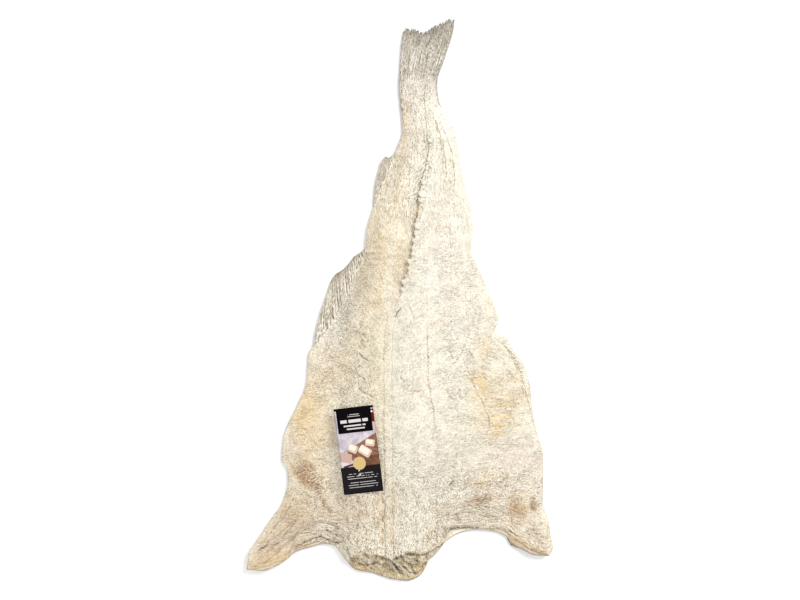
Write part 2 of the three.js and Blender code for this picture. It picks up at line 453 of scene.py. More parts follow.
class Finish(Graph):  # one surface material
    def __init__(self, name):
        self.material = bpy.data.materials.new(name)
        self.material.use_nodes = True
        super().__init__(self.material.node_tree)
        self.tree.nodes.clear()

    def place(self):
        return self.node("ShaderNodeTexCoord", {}, {}, "Object")

    def stretched(self, vector, x, y, z, turn=0):  # so many to the metre each way, in axes turned by turn
        inputs = {"Vector": vector, "Scale": (1 / x, 1 / y, 1 / z), "Rotation": (0, 0, math.radians(turn))}
        return self.node("ShaderNodeMapping", {"vector_type": "TEXTURE"}, inputs)

    def grain(self, vector, scale, detail=2.0, roughness=0.5, distortion=0.0):
        inputs = {"Vector": vector, "Scale": scale, "Detail": detail, "Roughness": roughness}
        return self.node("ShaderNodeTexNoise", {}, {**inputs, "Distortion": distortion}, "Fac")

    def cells(self, vector, scale):
        inputs = {"Vector": vector, "Scale": scale, "Randomness": 1.0}
        return self.node("ShaderNodeTexVoronoi", {"feature": "F1"}, inputs, "Distance")

    def mask(self, name):
        return self.node("ShaderNodeAttribute", {"attribute_name": name}, {}, "Fac")

    def mix(self, amount, a, b, kind="MIX"):  # a and b are sockets, or colours of a colour chart
        settings = {"data_type": "RGBA", "blend_type": kind, "clamp_factor": True}
        a, b = (tint if isinstance(tint, Wire) else linear(*tint) for tint in (a, b))
        return self.node("ShaderNodeMix", settings, {0: amount, 6: a, 7: b}, 2)

    def paint(self, amount, tint):  # lays a colour over the finish so far
        self.colour = self.mix(amount, self.colour, tint)

    def stainAndShade(self, amount, tint):  # multiplies the finish so far by a colour: stains, and painted shade in hollows, creases and furrows
        self.colour = self.mix(amount, self.colour, tint, "MULTIPLY")

    def lines(self, noise, half):  # 1 along the thin lines where a noise passes its middle
        return 1 - abs(noise - 0.5).between(0.0, half)

    def bump(self, height, distance):
        return self.node("ShaderNodeBump", {}, {"Height": height, "Distance": distance, "Strength": 1.0})

    def surface(self, inputs):
        shader = self.node("ShaderNodeBsdfPrincipled", {}, inputs)
        self.node("ShaderNodeOutputMaterial", {}, {"Surface": shader})
        return self.material


class Growth(Graph):  # a Geometry Nodes tree with named inputs
    def __init__(self, name):
        super().__init__(bpy.data.node_groups.new(name, "GeometryNodeTree"))
        self.identifiers = {}
        self.tree.interface.new_socket("Geometry", in_out="OUTPUT", socket_type="NodeSocketGeometry")
        self.entry = self.tree.nodes.new("NodeGroupInput")
        self.host = self.input("Geometry", "Geometry")

    def input(self, name, kind="Float"):
        socket = self.tree.interface.new_socket(name, in_out="INPUT", socket_type="NodeSocket" + kind)
        self.identifiers[name] = socket.identifier
        return Wire(self, self.entry.outputs[name])

    def named(self, name):
        return self.node("GeometryNodeInputNamedAttribute", {"data_type": "FLOAT"}, {"Name": name})

    def random(self, low, high, seed):
        inputs = {2: low, 3: high, "Seed": seed}
        return self.node("FunctionNodeRandomValue", {"data_type": "FLOAT"}, inputs, 1)

    def vector(self, x, y, z):
        return self.node("ShaderNodeCombineXYZ", {}, {"X": x, "Y": y, "Z": z})

    def close(self, shape):
        whole = self.node("GeometryNodeRealizeInstances", {}, {"Geometry": shape})
        inputs = {"Geometry": whole, "Material": self.input("finish", "Material")}
        self.node("NodeGroupOutput", {}, {"Geometry": self.node("GeometryNodeSetMaterial", {}, inputs)})

    def grow(self, name, mesh, values, smoothly=True):  # the tree's result on a mesh, as a plain piece
        host = placeObject(name + "Host", mesh)
        modifier = host.modifiers.new("growth", "NODES")
        modifier.node_group = self.tree
        for key, value in values.items():
            modifier[self.identifiers[key]] = value
        evaluated = host.evaluated_get(bpy.context.evaluated_depsgraph_get())
        made = bpy.data.meshes.new_from_object(evaluated)
        host.modifiers.remove(modifier)
        bpy.data.objects.remove(host)
        made.name = name
        if smoothly:
            made.shade_smooth()
        print(name + ":", len(made.polygons), "faces")
        return placeObject(name, made)


# The flesh: two fillets that meet at the spine line

sculpt = {
    "rows": 552, "columns": 164, "wall": [0.9, 0.5, 0.1, 0], "underStep": 12, "tailEnd": 0.925, "wear": 0.7,
    "finBlend": 16,
    "ledge": [[-24, 0], [0, 1.2], [40, 2.4], [100, 2.6], [160, 1.5], [200, 0.7], [300, 0.2]],  # [y, height]
    "dip": [[-24, 0], [0, 1.8], [40, 2.8], [100, 3.0], [160, 2.0], [200, 1], [300, 0.5]],  # [y, depth]
    "cut": [[-397, 0.4], [-345, 0.7], [-100, 0.9], [-20, 0.8], [10, 1.0], [150, 0.8], [215, 0.7], [315, 0.4]],
    "seamWidth": 10.8, "seamHeight": 0.9, "seamGroove": 1.9,
    "furrows": [  # [height, half width, points]
        [-1.0, 1.0, [(78, -275), (99, -264), (120, -258), (141, -258), (162, -264), (183, -272)]],
        [-1.2, 1.2, [(48, 257), (54, 229), (58, 211), (61, 184), (62, 140)]],
        [-0.9, 1.0, [(71, 220), (71.5, 174), (68, 140), (71, 90), (72, 20), (72, -20)]],
        [-0.8, 1.2, [(22, 285), (20, 240), (16, 190), (2, 120), (-14, 60)]],
        [-0.7, 1.1, [(84, 60), (92, 10), (96, -60), (104, -110)]],
        [-0.9, 0.8, [(110, -121), (122, -143), (134, -163)]],
        [-0.7, 0.8, [(106, -159), (118, -146), (130, -131)]],
        *[
            [-1.5, 1.1, [(x, -272 - 9 * k % 23), (x + 1.5, -310), (x, -352)]]
            for k, x in enumerate((-59, -47, -36))
        ],
        *[
            [-1.3, 1.1, [(x, -268 - 11 * k % 31), (x - 1, -304), (x + 1, -344)]]
            for k, x in enumerate((9, 24, 38, 52))
        ],
        [-2.2, 1.2, [(-24, -262), (-22.5, -300), (-23.5, -354)]],
        [-1.5, 1.5, [(-118, -262), (-107, -285), (-93, -308), (-80, -330), (-77, -352)]],
        [1.3, 3.0, [(-69, -289), (-66, -320), (-65, -352), (-64, -372)]],
        [-1.4, 1.2, [(-74, -300), (-71, -325), (-72, -350)]],
        [-1.0, 1.0, [(58, -304), (84, -300), (112, -304), (146, -312)]],
        [-1.0, 0.9, [(50, -313), (80, -309), (108, -313), (132, -316)]],
        [-0.9, 0.9, [(60, -295), (90, -291), (130, -297)]],
        [-1.3, 1.2, [(150, -100), (160, -112), (168, -140)]],
        [1.2, 2.4, [(153, -58), (164, -82), (177, -110), (184, -150)]],
        [-1.1, 1.4, [(147, -62), (158, -86), (170, -112), (177, -150)]],
        [1.3, 2.2, [(199, -262), (202, -296), (207, -320)]],
        [-1.0, 1.3, [(193, -262), (195, -296), (198, -318)]],
    ],
    "cracks": [
        [-2.4, 0.9, [(-8, -27), (-3, -20), (3, -13)]],
        [-1.6, 0.8, [(-60, -44), (-55, -49), (-48, -54)]],
        [-1.5, 0.8, [(-56, -57), (-51, -63)]],
        [-2.0, 0.9, [(-58, -75), (-51, -82), (-42, -88)]],
        [-1.6, 0.8, [(-61, -102), (-55, -109), (-47, -114)]],
        [-1.9, 0.9, [(-58, -124), (-49, -132), (-37, -138)]],
        [-1.3, 0.8, [(0, -108), (4, -115), (9, -117)]],
        [-1.5, 0.8, [(12, -130), (21, -128.5), (32, -129)]],
        [-3.0, 1.0, [(67.5, -264), (72, -259.5), (76, -255)]],
        [-1.3, 0.9, [(93, -266), (104, -261), (114, -259)]],
        [0.9, 1.6, [(58, -300), (84, -296), (112, -299), (150, -306)]],
        [0.9, 1.6, [(54, -309), (84, -305), (120, -309)]],
        [-1.3, 0.8, [(-71, -4), (-66, -9), (-60, -11)]],
        [-1.1, 0.8, [(66, -69), (73, -78), (73, -86)]],
        [-1.0, 0.7, [(98, -72), (103, -84)]],
        [-2.4, 1.0, [(-103, -324.5), (-99, -326), (-94.5, -327)]],
        [-2.4, 1.2, [(-184.5, -344.5), (-189, -348), (-197, -354.5)]],
        [-0.9, 0.8, [(4, -11), (10, -22)]],
        [-0.8, 0.8, [(12, -8), (18, -20), (20, -30)]],
    ],
    "pits": [  # [x, y, radius, depth]
        [73, -33, 1.6, 1.4], [70, -65, 1.4, 1.0], [83, -129, 1.6, 1.7], [81, -166, 1.4, 1.3],
        [47, -11, 1.3, 0.8], [-104, -29, 1.4, 0.7], [62, -14, 1.2, 0.7], [188, -280, 3.0, 0.8],
    ],
    "rolls": [  # the thin edges rolled over beside the lugs, as [height, half width, points]
        [2.6, 2.8, [(-206, -374), (-180, -362), (-150, -350), (-122, -341)]],
        [3.0, 2.4, [(-193, -366), (-167, -345), (-139, -322), (-114, -309), (-90, -312)]],
        [-2.6, 1.1, [(-190, -371), (-165, -351), (-137, -328), (-112, -314.5), (-92, -317)]],
        [2.0, 2.0, [(-160, -300), (-166, -316), (-180, -333), (-196, -350)]],
        [-2.0, 1.0, [(-164, -300), (-171, -316), (-184, -332)]],
        [-2.0, 0.9, [(-140, -300), (-152, -322), (-172, -344), (-190, -362)]],
        [2.2, 2.2, [(62, -317), (85, -317), (118, -318)]],
        [0.9, 1.4, [(72, -302), (90, -299), (108, -298)]],
        [-0.9, 0.8, [(72, -304.5), (90, -301.5), (108, -300.5)]],
        [-0.8, 0.8, [(72, -309), (92, -307), (112, -307)]],
    ],
    "ribs": {"pitch": 15, "first": -66, "left": 118, "right": 196, "low": -232, "high": -58, "height": 0.4},
    "swatch": {"top": 84, "low": 38, "off": 8, "halfWidth": 5.5, "height": 1.3},  # beside the groove
    "pricked": [  # [x, y] of the dotted line down the right loin
        (38, 10), (38.5, -51), (41, -86), (40, -114), (43, -142), (48, -163), (50, -182),
        (36, -215), (31, -303),
    ],
    "vertebrae": {
        "pitch": 12, "first": 0, "off": -16, "halfWidth": 9, "low": -12, "high": 118, "height": 0.45,
    },
}

nape = {
    "lip": [  # [x, y] where the thick flesh breaks off to the sloping cut
        [-76, -366], [-64, -358], [-48, -355], [-33, -357], [-21, -362], [-12, -364], [-4, -360], [5, -355],
        [18, -353], [32, -356], [44, -350],
    ],
    "drop": 0.2, "slope": 0.66, "grainHeight": 5.5,
    # painted shade in the cut face's hollows, as ovals of [x, y, half length, half width, turn, strength]
    "hollowShade": [[-13, -378, 17, 8, -40, 1.0], [2, -391, 10, 4, -20, 0.8], [-16, -366, 6, 5, 0, 0.8]],
}


def tooth(y):  # a slanting tear across the right fillet's edge at the groove
    reach = 4.5 + 2.5 * float(noise(np.array(y / 9), np.array(0.5), 151))
    start = float(splitAt(np.array(float(y)))) + 0.6
    return [0.7, -0.8, [(start, y), (start + 0.5 * reach, y - 0.3 * reach), (start + reach, y - reach)]]


strokes = {  # creases, tears, cracks and ridges, each [half width, height, points]
    # painted shadow in the creases and under the rolled edges, over their own darker colour
    "dark": [
        [1.0, -1.6, [(-64, -366), (-56, -373), (-47, -375), (-38.5, -373), (-31, -369)]],
        [1.3, -1.5, [(-33, -358), (-22, -362.5), (-14, -364)]],
        [1.7, -2.6, [(-22, -361), (-14, -365), (-7, -372), (-2, -380), (3, -388)]],
        [1.1, -1.8, [(-2, -368), (6.5, -375.5), (13.5, -384), (23, -386), (31.5, -380)]],
        [0.9, -1.0, [(1, -360.5), (12, -363), (23, -366), (29, -373)]],
        [0.9, -1.0, [(-10, -363), (-1, -361.5), (12, -357.5), (26, -357)]],
        [0.8, -0.9, [(4, -366), (14, -371), (24, -377)]],
        [0.9, -0.9, [(-73, -349), (-69, -360), (-63, -373)]],
        [1.2, -1.4, [(31, -357.5), (40, -355), (48, -350.5), (57, -347), (63, -341)]],
        [1.3, -2.2, [
            (61, -321), (66.5, -324), (78, -322.7), (92, -321), (103, -322.4), (113, -323.4), (124, -325.5),
        ]],
        [0.9, -1.4, [(129, -320), (143, -323), (157, -328), (170, -335)]],
        [1.0, -1.5, [(183, -351), (193, -356), (204, -359.5)]],
        [1.2, -2.2, [
            (-151, -351), (-139, -345), (-128, -340), (-117, -335.5), (-109, -334), (-100, -339),
            (-90, -342), (-76, -341),
        ]],
        [1.0, -1.2, [(188, -329), (193, -331), (198, -329)]],
    ],
    "torn": [tooth(y) for y in (226, 217, 211, 202, 196, 186, 180, 170, 163, 154, 146, 135, 128, 117, 110)],
    "cracked": [
        [0.6, -0.5, [(38, -44), (38.5, -66), (40, -90), (40, -114), (43, -134), (47, -156), (51, -184)]],
        [0.7, -0.6, [(88, -84), (95, -99), (103, -118), (108, -131), (118, -150), (125, -170), (127, -182)]],
        [0.6, -0.6, [(134, -56), (150, -70), (162, -87), (170, -105), (177, -132), (184, -160), (193, -196)]],
        [0.6, -0.5, [(93, -64), (86, -78), (78, -90), (70, -96)]],
        [0.6, -0.5, [(66, -128), (70, -137), (77, -141)]],
        [0.7, -0.6, [(46, 257), (55, 234), (61, 212), (64, 190), (65, 159)]],
        [0.6, -0.5, [(55, 250), (66, 224), (74, 201), (77, 172), (76, 145)]],
        [0.6, -0.5, [(28, 262), (33, 236), (36, 210), (41, 184)]],
        [0.6, -0.5, [(-176, -336), (-158, -322), (-140, -306), (-124, -298)]],
        [0.6, -0.5, [(-184, -350), (-160, -338), (-141, -330), (-122, -328)]],
        [0.6, -0.4, [(-170, -318), (-156, -296), (-146, -276)]],
        [0.7, -0.5, [(118, -300), (138, -309), (158, -314), (176, -320)]],
        [0.6, -0.5, [(96, -296), (116, -291), (134, -294), (152, -303)]],
    ],
    "golden": [
        [1.7, 1.4, [(-62, -371), (-54, -377), (-44, -378), (-32, -375)]],
        [2.2, 1.2, [(28, -364), (34, -371), (33, -380), (26, -387)]],
        [0.9, 0.5, [(-64, -356), (-52, -354), (-38, -355)]],
        [1.0, 0.6, [(4, -353.5), (16, -351.5), (30, -353)]],
        [3.0, 2.0, [
            (126, -321), (141, -325.5), (155, -331), (169, -337.5), (183, -345), (197, -353.5), (207, -359),
        ]],
        [1.4, 0.8, [(-205, -378), (-188, -374), (-170, -367), (-152, -357)]],
        [2.6, 0.8, [(-170, -371), (-164, -367), (-159, -363)]],
        [1.2, 0.5, [(-155, -275), (-158, -290), (-166, -303)]],
    ],
    # pale bone strips, and a painted highlight along the right lug's rolled edge
    "boneAndHighlight": [
        [2.1, 2.6, [(-10, -366), (-2, -371), (6.5, -380), (16, -390)]],
        [1.2, 0.8, [(150, -322.5), (164, -328), (180, -337), (196, -347), (207, -354)]],
        [4.0, 0.6, [(-56, -362), (-46, -366), (-34, -365)]],
        [3.4, 0.5, [(-145, -337), (-134, -331), (-124, -326)]],
        [3.4, 1.4, [(197, -308), (193, -319), (191, -326)]],
        [2.6, 1.0, [(-71, -300), (-68, -322), (-68, -345), (-66, -362)]],
    ],
}


def spineRelief(p):
    y, off = p["y"], p["off"]
    away = np.abs(off)
    lip = np.sqrt(1 - (1 - clamp(away / (1.7 + 0.5 * noise(y / 6, 0 * y, 32)))) ** 2)
    gaping = clamp(0.55 + 1.1 * layered(y / 8, 0 * y, 2, 36) + 0.4 * smooth(y / 20))
    crease = through(sculpt["cut"])(y) * gaping * (1 - lip)
    high = through(sculpt["ledge"])(y) * np.exp(-away / 20)
    deep = through(sculpt["dip"])(y) * np.exp(-away / 14)
    s = sculpt["swatch"]
    along = clamp((y - s["low"]) / (s["top"] - s["low"]))
    width = s["halfWidth"] * np.sin(np.pi * along) ** 0.7 + 0.01
    lens = s["height"] * smooth(1.4 - np.abs(off - s["off"]) / width)
    lens = lens * smooth(along * 8) * smooth(8 - along * 8)
    right = high - crease + lens
    seam = smooth((-8 - y) / 20) * smooth((y + 382) / 16)
    width = sculpt["seamWidth"] + 0.8 * noise(y / 23, 0 * y, 33)
    broken = clamp(0.2 + 1.2 * layered(y / 10, 0 * y, 3, 34))
    strip = sculpt["seamHeight"] * smooth((width - away) / 2 + 0.5)
    broken = np.maximum(broken, smooth((-260 - y) / 40))
    strip = strip - sculpt["seamGroove"] * broken * bell(away - width - 0.6, 1.2)
    s = sculpt["vertebrae"]
    beat = np.cos(2 * math.pi * (y - s["first"] + 1.5 * noise(p["x"] / 14, y / 20, 35)) / s["pitch"])
    where = bell(off - s["off"], s["halfWidth"]) * smooth((y - s["low"]) / 20) * smooth((s["high"] - y) / 20)
    left = s["height"] * where * beat - deep - crease + seam * strip
    return np.where(off >= 0, right, left), lens


def carvedRelief(x, y):
    warpX = x + 1.4 * noise(x / 9, y / 9, 41) + 0.9 * noise(x / 3.5, y / 3.5, 44)
    warpY = y + 1.4 * noise(x / 9, y / 9, 42) + 0.9 * noise(x / 3.5, y / 3.5, 45)
    broken = clamp(0.45 + 1.1 * layered(x / 8, y / 8, 2, 46))
    total = broken * carved(warpX, warpY, sculpt["furrows"]) + carved(warpX, warpY, sculpt["cracks"])
    for pitX, pitY, radius, depth in sculpt["pits"]:
        distance = np.hypot(warpX - pitX, warpY - pitY)
        total += 0.35 * depth * bell(distance - 1.8 * radius, radius) - depth * bell(distance, radius)
    dotted = clamp(0.1 + 1.5 * layered(y / 4.5, x / 9, 2, 43))
    return total - 1.2 * dotted * bell(polyline(warpX, warpY, sculpt["pricked"])[0], 1.0)


def muscleRelief(p):
    # Folds between the muscle blocks: slanting dashes right of the seam, scales in the channel on the left.
    x, y, off = p["x"], p["y"], p["off"]
    wander = 3.4 * layered(x / 20, y / 20, 3, 51)

    def dashes(lean, pitch, sharp):
        phase = (y - lean * off + wander) / pitch
        return bell(1 - np.abs(2 * (phase - np.floor(phase)) - 1), sharp)

    patchy = clamp(0.2 + 1.4 * layered(x / 13, y / 13, 2, 52))
    other = clamp(0.2 + 1.4 * layered(x / 11, y / 11, 2, 53))
    right = dashes(0.9, 11, 0.16) * bell(off - 20, 17)
    right = right * smooth((16 - y) / 20) * smooth((y + 190) / 60) * patchy
    middle = dashes(1.0, 13, 0.16) * bell(off - 60, 26)
    middle = middle * smooth((40 - y) / 40) * smooth((y + 60) / 40) * other
    arcs = dashes(0.55, 8.5, 0.2) * bell(off - 34, 14) * smooth((44 - y) / 14) * smooth((y + 6) / 14) * other
    stubs = dashes(1.0, 7.4, 0.3) * bell(off + 1, 8) * smooth((y - 140) / 20) * smooth((232 - y) / 14)
    scales = dashes(-0.9, 14.5, 0.2) * bell(off + 33, 9) * smooth((y + 34) / 14) * smooth((112 - y) / 20)
    left = dashes(-0.9, 19, 0.12) * bell(off + 42, 20)
    left = left * smooth((-20 - y) / 30) * smooth((y + 200) / 60) * other
    return -1.3 * right - 0.8 * middle - 0.7 * arcs - 1.0 * stubs - 0.55 * scales - 0.9 * left


def ribRelief(x, y):
    r = sculpt["ribs"]
    inside = smooth((x - r["left"]) / 16) * smooth((r["right"] - x) / 10)
    inside = inside * smooth((y - r["low"]) / 14) * smooth((r["high"] - y) / 10)
    bow = 0.0009 * (x - 150) ** 2 + 2.5 * noise(x / 30, y / 30, 61)
    return inside, np.cos(2 * math.pi * (y - r["first"] + bow) / r["pitch"])


def crinkleRelief(p):
    # Dried flesh: torn fibres and puffs, drawn out along the tail end, round the edges and into the lugs.
    x, y, off, edge, fromHead = p["x"], p["y"], p["off"], p["edge"], p["fromHead"]
    warp = 2.2 * layered(x / 12, y / 12, 3, 70)
    x, y = x + warp, y + 2.2 * layered(x / 12, y / 12, 3, 71)

    def strands(turn, width, length, seed):
        along, across = turned(x, y, math.radians(turn))
        return crumple(along / length, across / width, 3, seed)

    lengthwise = crumple((off + warp) / 3.6, y / 15, 3, 72)
    slanting, even, crosswise = strands(48, 3.8, 11, 74), strands(20, 5.5, 7.5, 76), strands(4, 3.8, 13, 78)
    around = crumple((edge + warp) / 4, (y + x) / 24, 3, 79)
    arches = crumple((x + 2 * warp) / 46, (fromHead + warp) / 5.4, 4, 81)
    lugX, lugY = -222, -386
    bearing = np.arctan2(y - lugY, x - lugX)
    rays = crumple(bearing * 16, np.hypot(x - lugX, y - lugY) / 70, 4, 85)
    nearLug = bell(np.hypot(x - lugX, y - lugY), 95) * smooth((-110 - x) / 30)
    p["arching"] = smooth((80 - fromHead) / 40) * smooth((np.abs(x - 2) - 46) / 30)
    p["stalk"] = smooth((y - 30) / 90)
    p["leftSide"] = smooth((-14 - off) / 24)
    p["slant"] = bell(off - 24, 34) * smooth((20 - y) / 40) * smooth((y + 240) / 80) * (1 - p["leftSide"])
    p["channel"] = bell(off + 38, 32) * smooth((116 - y) / 40) * smooth((y + 215) / 60)
    p["foot"] = smooth((-236 - y) / 40) * bell(x + 14, 78) * (1 - p["arching"])
    nearEdge = smooth((26 - edge) / 20) * (1 - p["arching"])
    flap = smooth((off - 100) / 30) * smooth((-20 - y) / 50)
    body = lerp(even, slanting, 0.8 * p["slant"])
    ends = np.maximum(p["stalk"], p["foot"])
    body = lerp(body, lengthwise, np.maximum(ends, 0.7 * p["leftSide"] * smooth((y - 40) / 80)))
    body = lerp(body, strands(132, 3.8, 11, 77), 0.85 * p["channel"])
    body = lerp(body, crosswise, np.maximum(0.85 * flap, 0.6 * p["leftSide"] * smooth((-80 - y) / 60)))
    body = lerp(body, around, 0.7 * nearEdge)
    body = lerp(body, 1.1 * arches, p["arching"])
    body = lerp(body, 1.2 * rays, nearLug)
    patches = clamp(0.45 + 0.95 * layered(x / 26, y / 26, 3, 84))
    strength = 0.8 + 1.8 * patches + 0.6 * np.maximum(p["leftSide"], p["arching"])
    swells = 0.9 * layered(x / 34, y / 46, 2, 86)
    return strength * (1 - 0.3 * bell(off - 30, 26)) * (body - 0.45) + swells


def napeRelief(p):
    x, y, fromHead = p["x"], p["y"], p["fromHead"]
    near = smooth((x + 74) / 10) * smooth((46 - x) / 10)
    below = through(nape["lip"])(x) + 2.2 * layered(x / 9, 0 * x, 3, 91) - y
    along = clamp(below / (below + fromHead + 0.01))
    cut = 1 - near * (nape["drop"] * smooth(below / 3) + nape["slope"] * smooth(along) * (below > 0))
    face = near * smooth(below / 2.4 + 0.5)
    grain = crumple((x + 0.6 * y) / 6, (y - 0.5 * x) / 15, 4, 95) - 0.4
    folds = crumple((x + 0.9 * y + 30) / 15, (y - 0.9 * x) / 24, 2, 96) - 0.45
    return cut, face, nape["grainHeight"] * face * (0.5 * grain + folds) * smooth(fromHead / 4)


def sculptFillet(side):
    s, t = sculpt, thickness
    u, v = np.meshgrid(np.linspace(0, 1, s["columns"] + 1), np.linspace(0, 1, s["rows"] + 1))
    u = lerp(u, (1 - np.cos(np.pi * u)) / 2, 0.25)
    p = plan(u, v, s["wear"], s["tailEnd"], side)
    x, y, edge = p["x"], p["y"], p["edge"]
    p["low"] = underside(x, y, p["rim"])
    slope, p["napeFace"], folds = napeRelief(p)
    p["napeFolds"] = folds / nape["grainHeight"]
    onFin = sum(smooth(finReach(y + step) / 8) for step in (-16, -8, 0, 8, 16)) / 5 * (p["off"] < 0)
    taper = smooth(edge / (t["edgeTaper"] + s["finBlend"] * onFin)) ** 0.7
    taper = lerp(t["atEdge"] * (1 - 0.9 * onFin), 1, taper)
    rounding = np.sqrt(1 - (1 - clamp(edge / 2.2)) ** 2)
    p["ribShare"], p["ribs"] = ribRelief(x, y)
    spine, p["lens"] = spineRelief(p)
    crinkle = crinkleRelief(p) * (1 - 0.75 * smooth(p["lens"]))
    p["carving"] = carvedRelief(x, y)
    p["muscle"] = muscleRelief(p)
    relief = spine + p["carving"] + p["muscle"] + crinkle + s["ribs"]["height"] * p["ribShare"] * p["ribs"]
    relief = relief * smooth(edge / 6) * (1 - 0.8 * p["napeFace"]) + folds
    rough = 1.1 * layered(x / 7, y / 7, 3, 97), 1.1 * layered(x / 7, y / 7, 3, 98)
    relief = relief + carved(x + rough[0], y + rough[1], s["rolls"]) * smooth(edge / 3)
    for kind, lines in strokes.items():
        height, p[kind] = drawn(x + rough[0], y + rough[1], lines)
        relief = relief + height * smooth(edge / 2)
    body = fullFlesh(x, y) * taper * slope
    height = np.maximum(body * rounding + relief * np.minimum(1, body / 6), (0.9 - 0.65 * onFin) * rounding)
    high = p["low"] + t["skin"] + height
    p["high"] = np.where(high > ceiling - 2, ceiling - 2 + 2 * np.tanh((high - ceiling + 2) / 2), high)
    p["cavity"] = blurred(p["high"], 16) - p["high"]
    p["fineCavity"] = blurred(p["high"], 3) - p["high"]
    p["onFin"] = onFin
    return walled(p, side)


def walled(p, side):  # continues the sheet down the wall at the spine line
    foot = p["low"] + thickness["skin"]
    for share in sculpt["wall"]:
        for name, values in p.items():
            last = values[:, -1:] if side == "left" else values[:, :1]
            if name == "high":
                base = foot[:, -1:] if side == "left" else foot[:, :1]
                top = p["wallTop"] if "wallTop" in p else last
                last = lerp(base, top, share)
            if name != "wallTop":
                p[name] = np.concatenate([values, last] if side == "left" else [last, values], axis=1)
    return p


stainsAndPaintedLight = {  # soft ovals of stain, painted shade and painted light: [x, y, half length, half width, turn, strength]
    "tan": [
        [-42, 60, 80, 11, 80, 0.3], [-40, 10, 40, 14, 75, 0.3], [-100, -110, 40, 22, 50, 0.35],
        [-130, -160, 50, 22, 84, 0.95], [-122, -195, 40, 24, 80, 0.75], [-130, -246, 34, 17, 125, 1.0],
        [-186, -366, 36, 9, 24, 1.0], [-140, -300, 40, 20, 60, 0.4], [110, 42, 18, 5, 110, 0.4],
        [151, -145, 24, 16, 0, 0.8], [121, -66, 18, 7, 95, 0.5], [104, -138, 14, 12, 0, 0.4],
        [140, -176, 24, 16, 80, 1.0], [113, -122, 24, 10, 90, 0.9], [134, -150, 50, 32, 100, 0.55],
        [165, -130, 36, 22, 100, 0.4], [115, -254, 24, 10, 10, 0.6], [170, -293, 24, 12, 70, 0.5],
        [8, 232, 50, 4, 88, 0.4], [-2, 152, 56, 4, 80, 0.45], [24, 118, 34, 2.4, 80, 0.7],
        [11, 56, 28, 2.2, 77, 0.7], [-24, -330, 50, 2, 90, 0.7], [-9, -320, 70, 2, 90, 0.8],
        [23, -131, 8, 3, 0, 0.5], [64, -131, 4, 3, 0, 0.5], [83, -130, 4, 3, 0, 0.5],
        [76, -167, 5, 3, 0, 0.5],
        [60, 207, 9, 3, 80, 0.3], [60, -345, 30, 12, 40, 0.5],
    ],
    "brown": [
        [-128, -254, 32, 11, 122, 1.2], [-150, -305, 40, 30, 60, 0.55], [-180, -345, 40, 24, 45, 0.5],
        [112, -283, 24, 7, 8, 0.95], [164, -296, 12, 18, 10, 0.9], [187, -290, 6, 12, 10, 1.0],
        [64, -292, 9, 9, 0, 0.5], [110, -300, 60, 14, 0, 0.4], [100, -318, 60, 9, 0, 0.35],
        [-60, -300, 60, 26, 20, 0.4], [-100, -330, 50, 18, 10, 0.45], [60, -330, 30, 14, 40, 0.35],
        [-88, -60, 60, 14, 70, 0.3], [190, -330, 24, 12, 120, 0.4], [-105, -288, 30, 5, 124, 0.7],
    ],
    "pink": [
        [168, -225, 40, 26, 0, 0.7], [10, 262, 50, 10, 88, 0.8], [-66, 20, 60, 10, 70, 0.5],
        [-150, -320, 40, 20, 50, 0.6], [60, 70, 60, 16, 95, 0.5], [-140, -215, 30, 16, 90, 0.5],
        [60, -230, 60, 30, 90, 0.3], [120, -270, 60, 14, 0, 0.7], [-2, 10, 60, 5, 75, 0.6],
        [27, 308, 10, 8, 0, 0.6],
        [60, -30, 14, 8, 90, 0.6],
    ],
    "speckled": [
        [63, 96, 34, 11, 96, 1.0], [60, 140, 26, 8, 96, 0.5], [70, -60, 50, 14, 80, 0.5],
        [40, -230, 60, 26, 80, 0.6],
    ],
    "rough": [
        [-78, -14, 100, 26, 78, 1.0], [-70, -130, 60, 26, 90, 0.9], [-60, -230, 60, 60, 90, 0.7],
        [24, 110, 50, 8, 88, 0.5], [174, -100, 40, 20, 100, 0.3], [74, -90, 40, 20, 90, 0.25],
    ],
    # bright: painted light lifting the shaded slope beside the long anal fin, and paler patches on the loin,
    # stalk and left flank
    "bright": [
        [-86, -34, 36, 20, 80, 1.2], [18, 200, 70, 8, 84, 0.5], [48, 46, 22, 10, 60, 0.6],
        [92, 8, 26, 10, 20, 0.6],
        [60, -28, 16, 8, 0, 0.6], [108, -40, 18, 9, -20, 0.5], [-66, 44, 24, 8, 70, 0.7],
    ],
    # shade: painted shade beside the groove, in the channel left of it and in the loin's valleys
    "shade": [
        [10, 90, 95, 7, 80, 0.4], [-40, -76, 66, 20, 88, 0.8], [-40, -330, 40, 40, 0, 0.3],
        [2, 20, 60, 8, 72, 0.25],
        [78, -219, 30, 18, 60, 0.6], [22, -215, 34, 14, 80, 0.5], [44, -268, 40, 14, 10, 0.5],
    ],
    "pale": [
        # this first pale oval is painted light on the same shaded slope beside the long anal fin
        [-90, -32, 15, 28, 0, 0.9],
        [60, 60, 230, 34, 97, 0.9], [40, -150, 180, 40, 90, 0.7], [60, 240, 50, 16, 90, 1.0],
        [-150, -230, 30, 8, 100, 0.7], [192, -308, 5, 16, 6, 1.0], [184, -120, 60, 8, 96, 0.8],
        [-15, 30, 34, 5, 88, 0.7], [-68, -320, 40, 4, 92, 0.7], [2, -376, 16, 3, -48, 1.0],
        [30, 60, 24, 5, 72, 1.0],
    ],
}
stainsAndPaintedLight["tan"] += [[-27 + 0.02 * y, y, 8, 4, 122, 0.6] for y in np.arange(-16, 100, 14.5)]
stainsAndPaintedLight["tan"] += [[-8 + 0.16 * y, y, 4.5, 3.2, 80, 0.4] for y in np.arange(2, 112, 14.5)]
stainsAndPaintedLight["pale"] += [[-18 + 0.1 * y, y, 5, 3.5, 100, 0.9] for y in np.arange(9, 112, 14.5)]
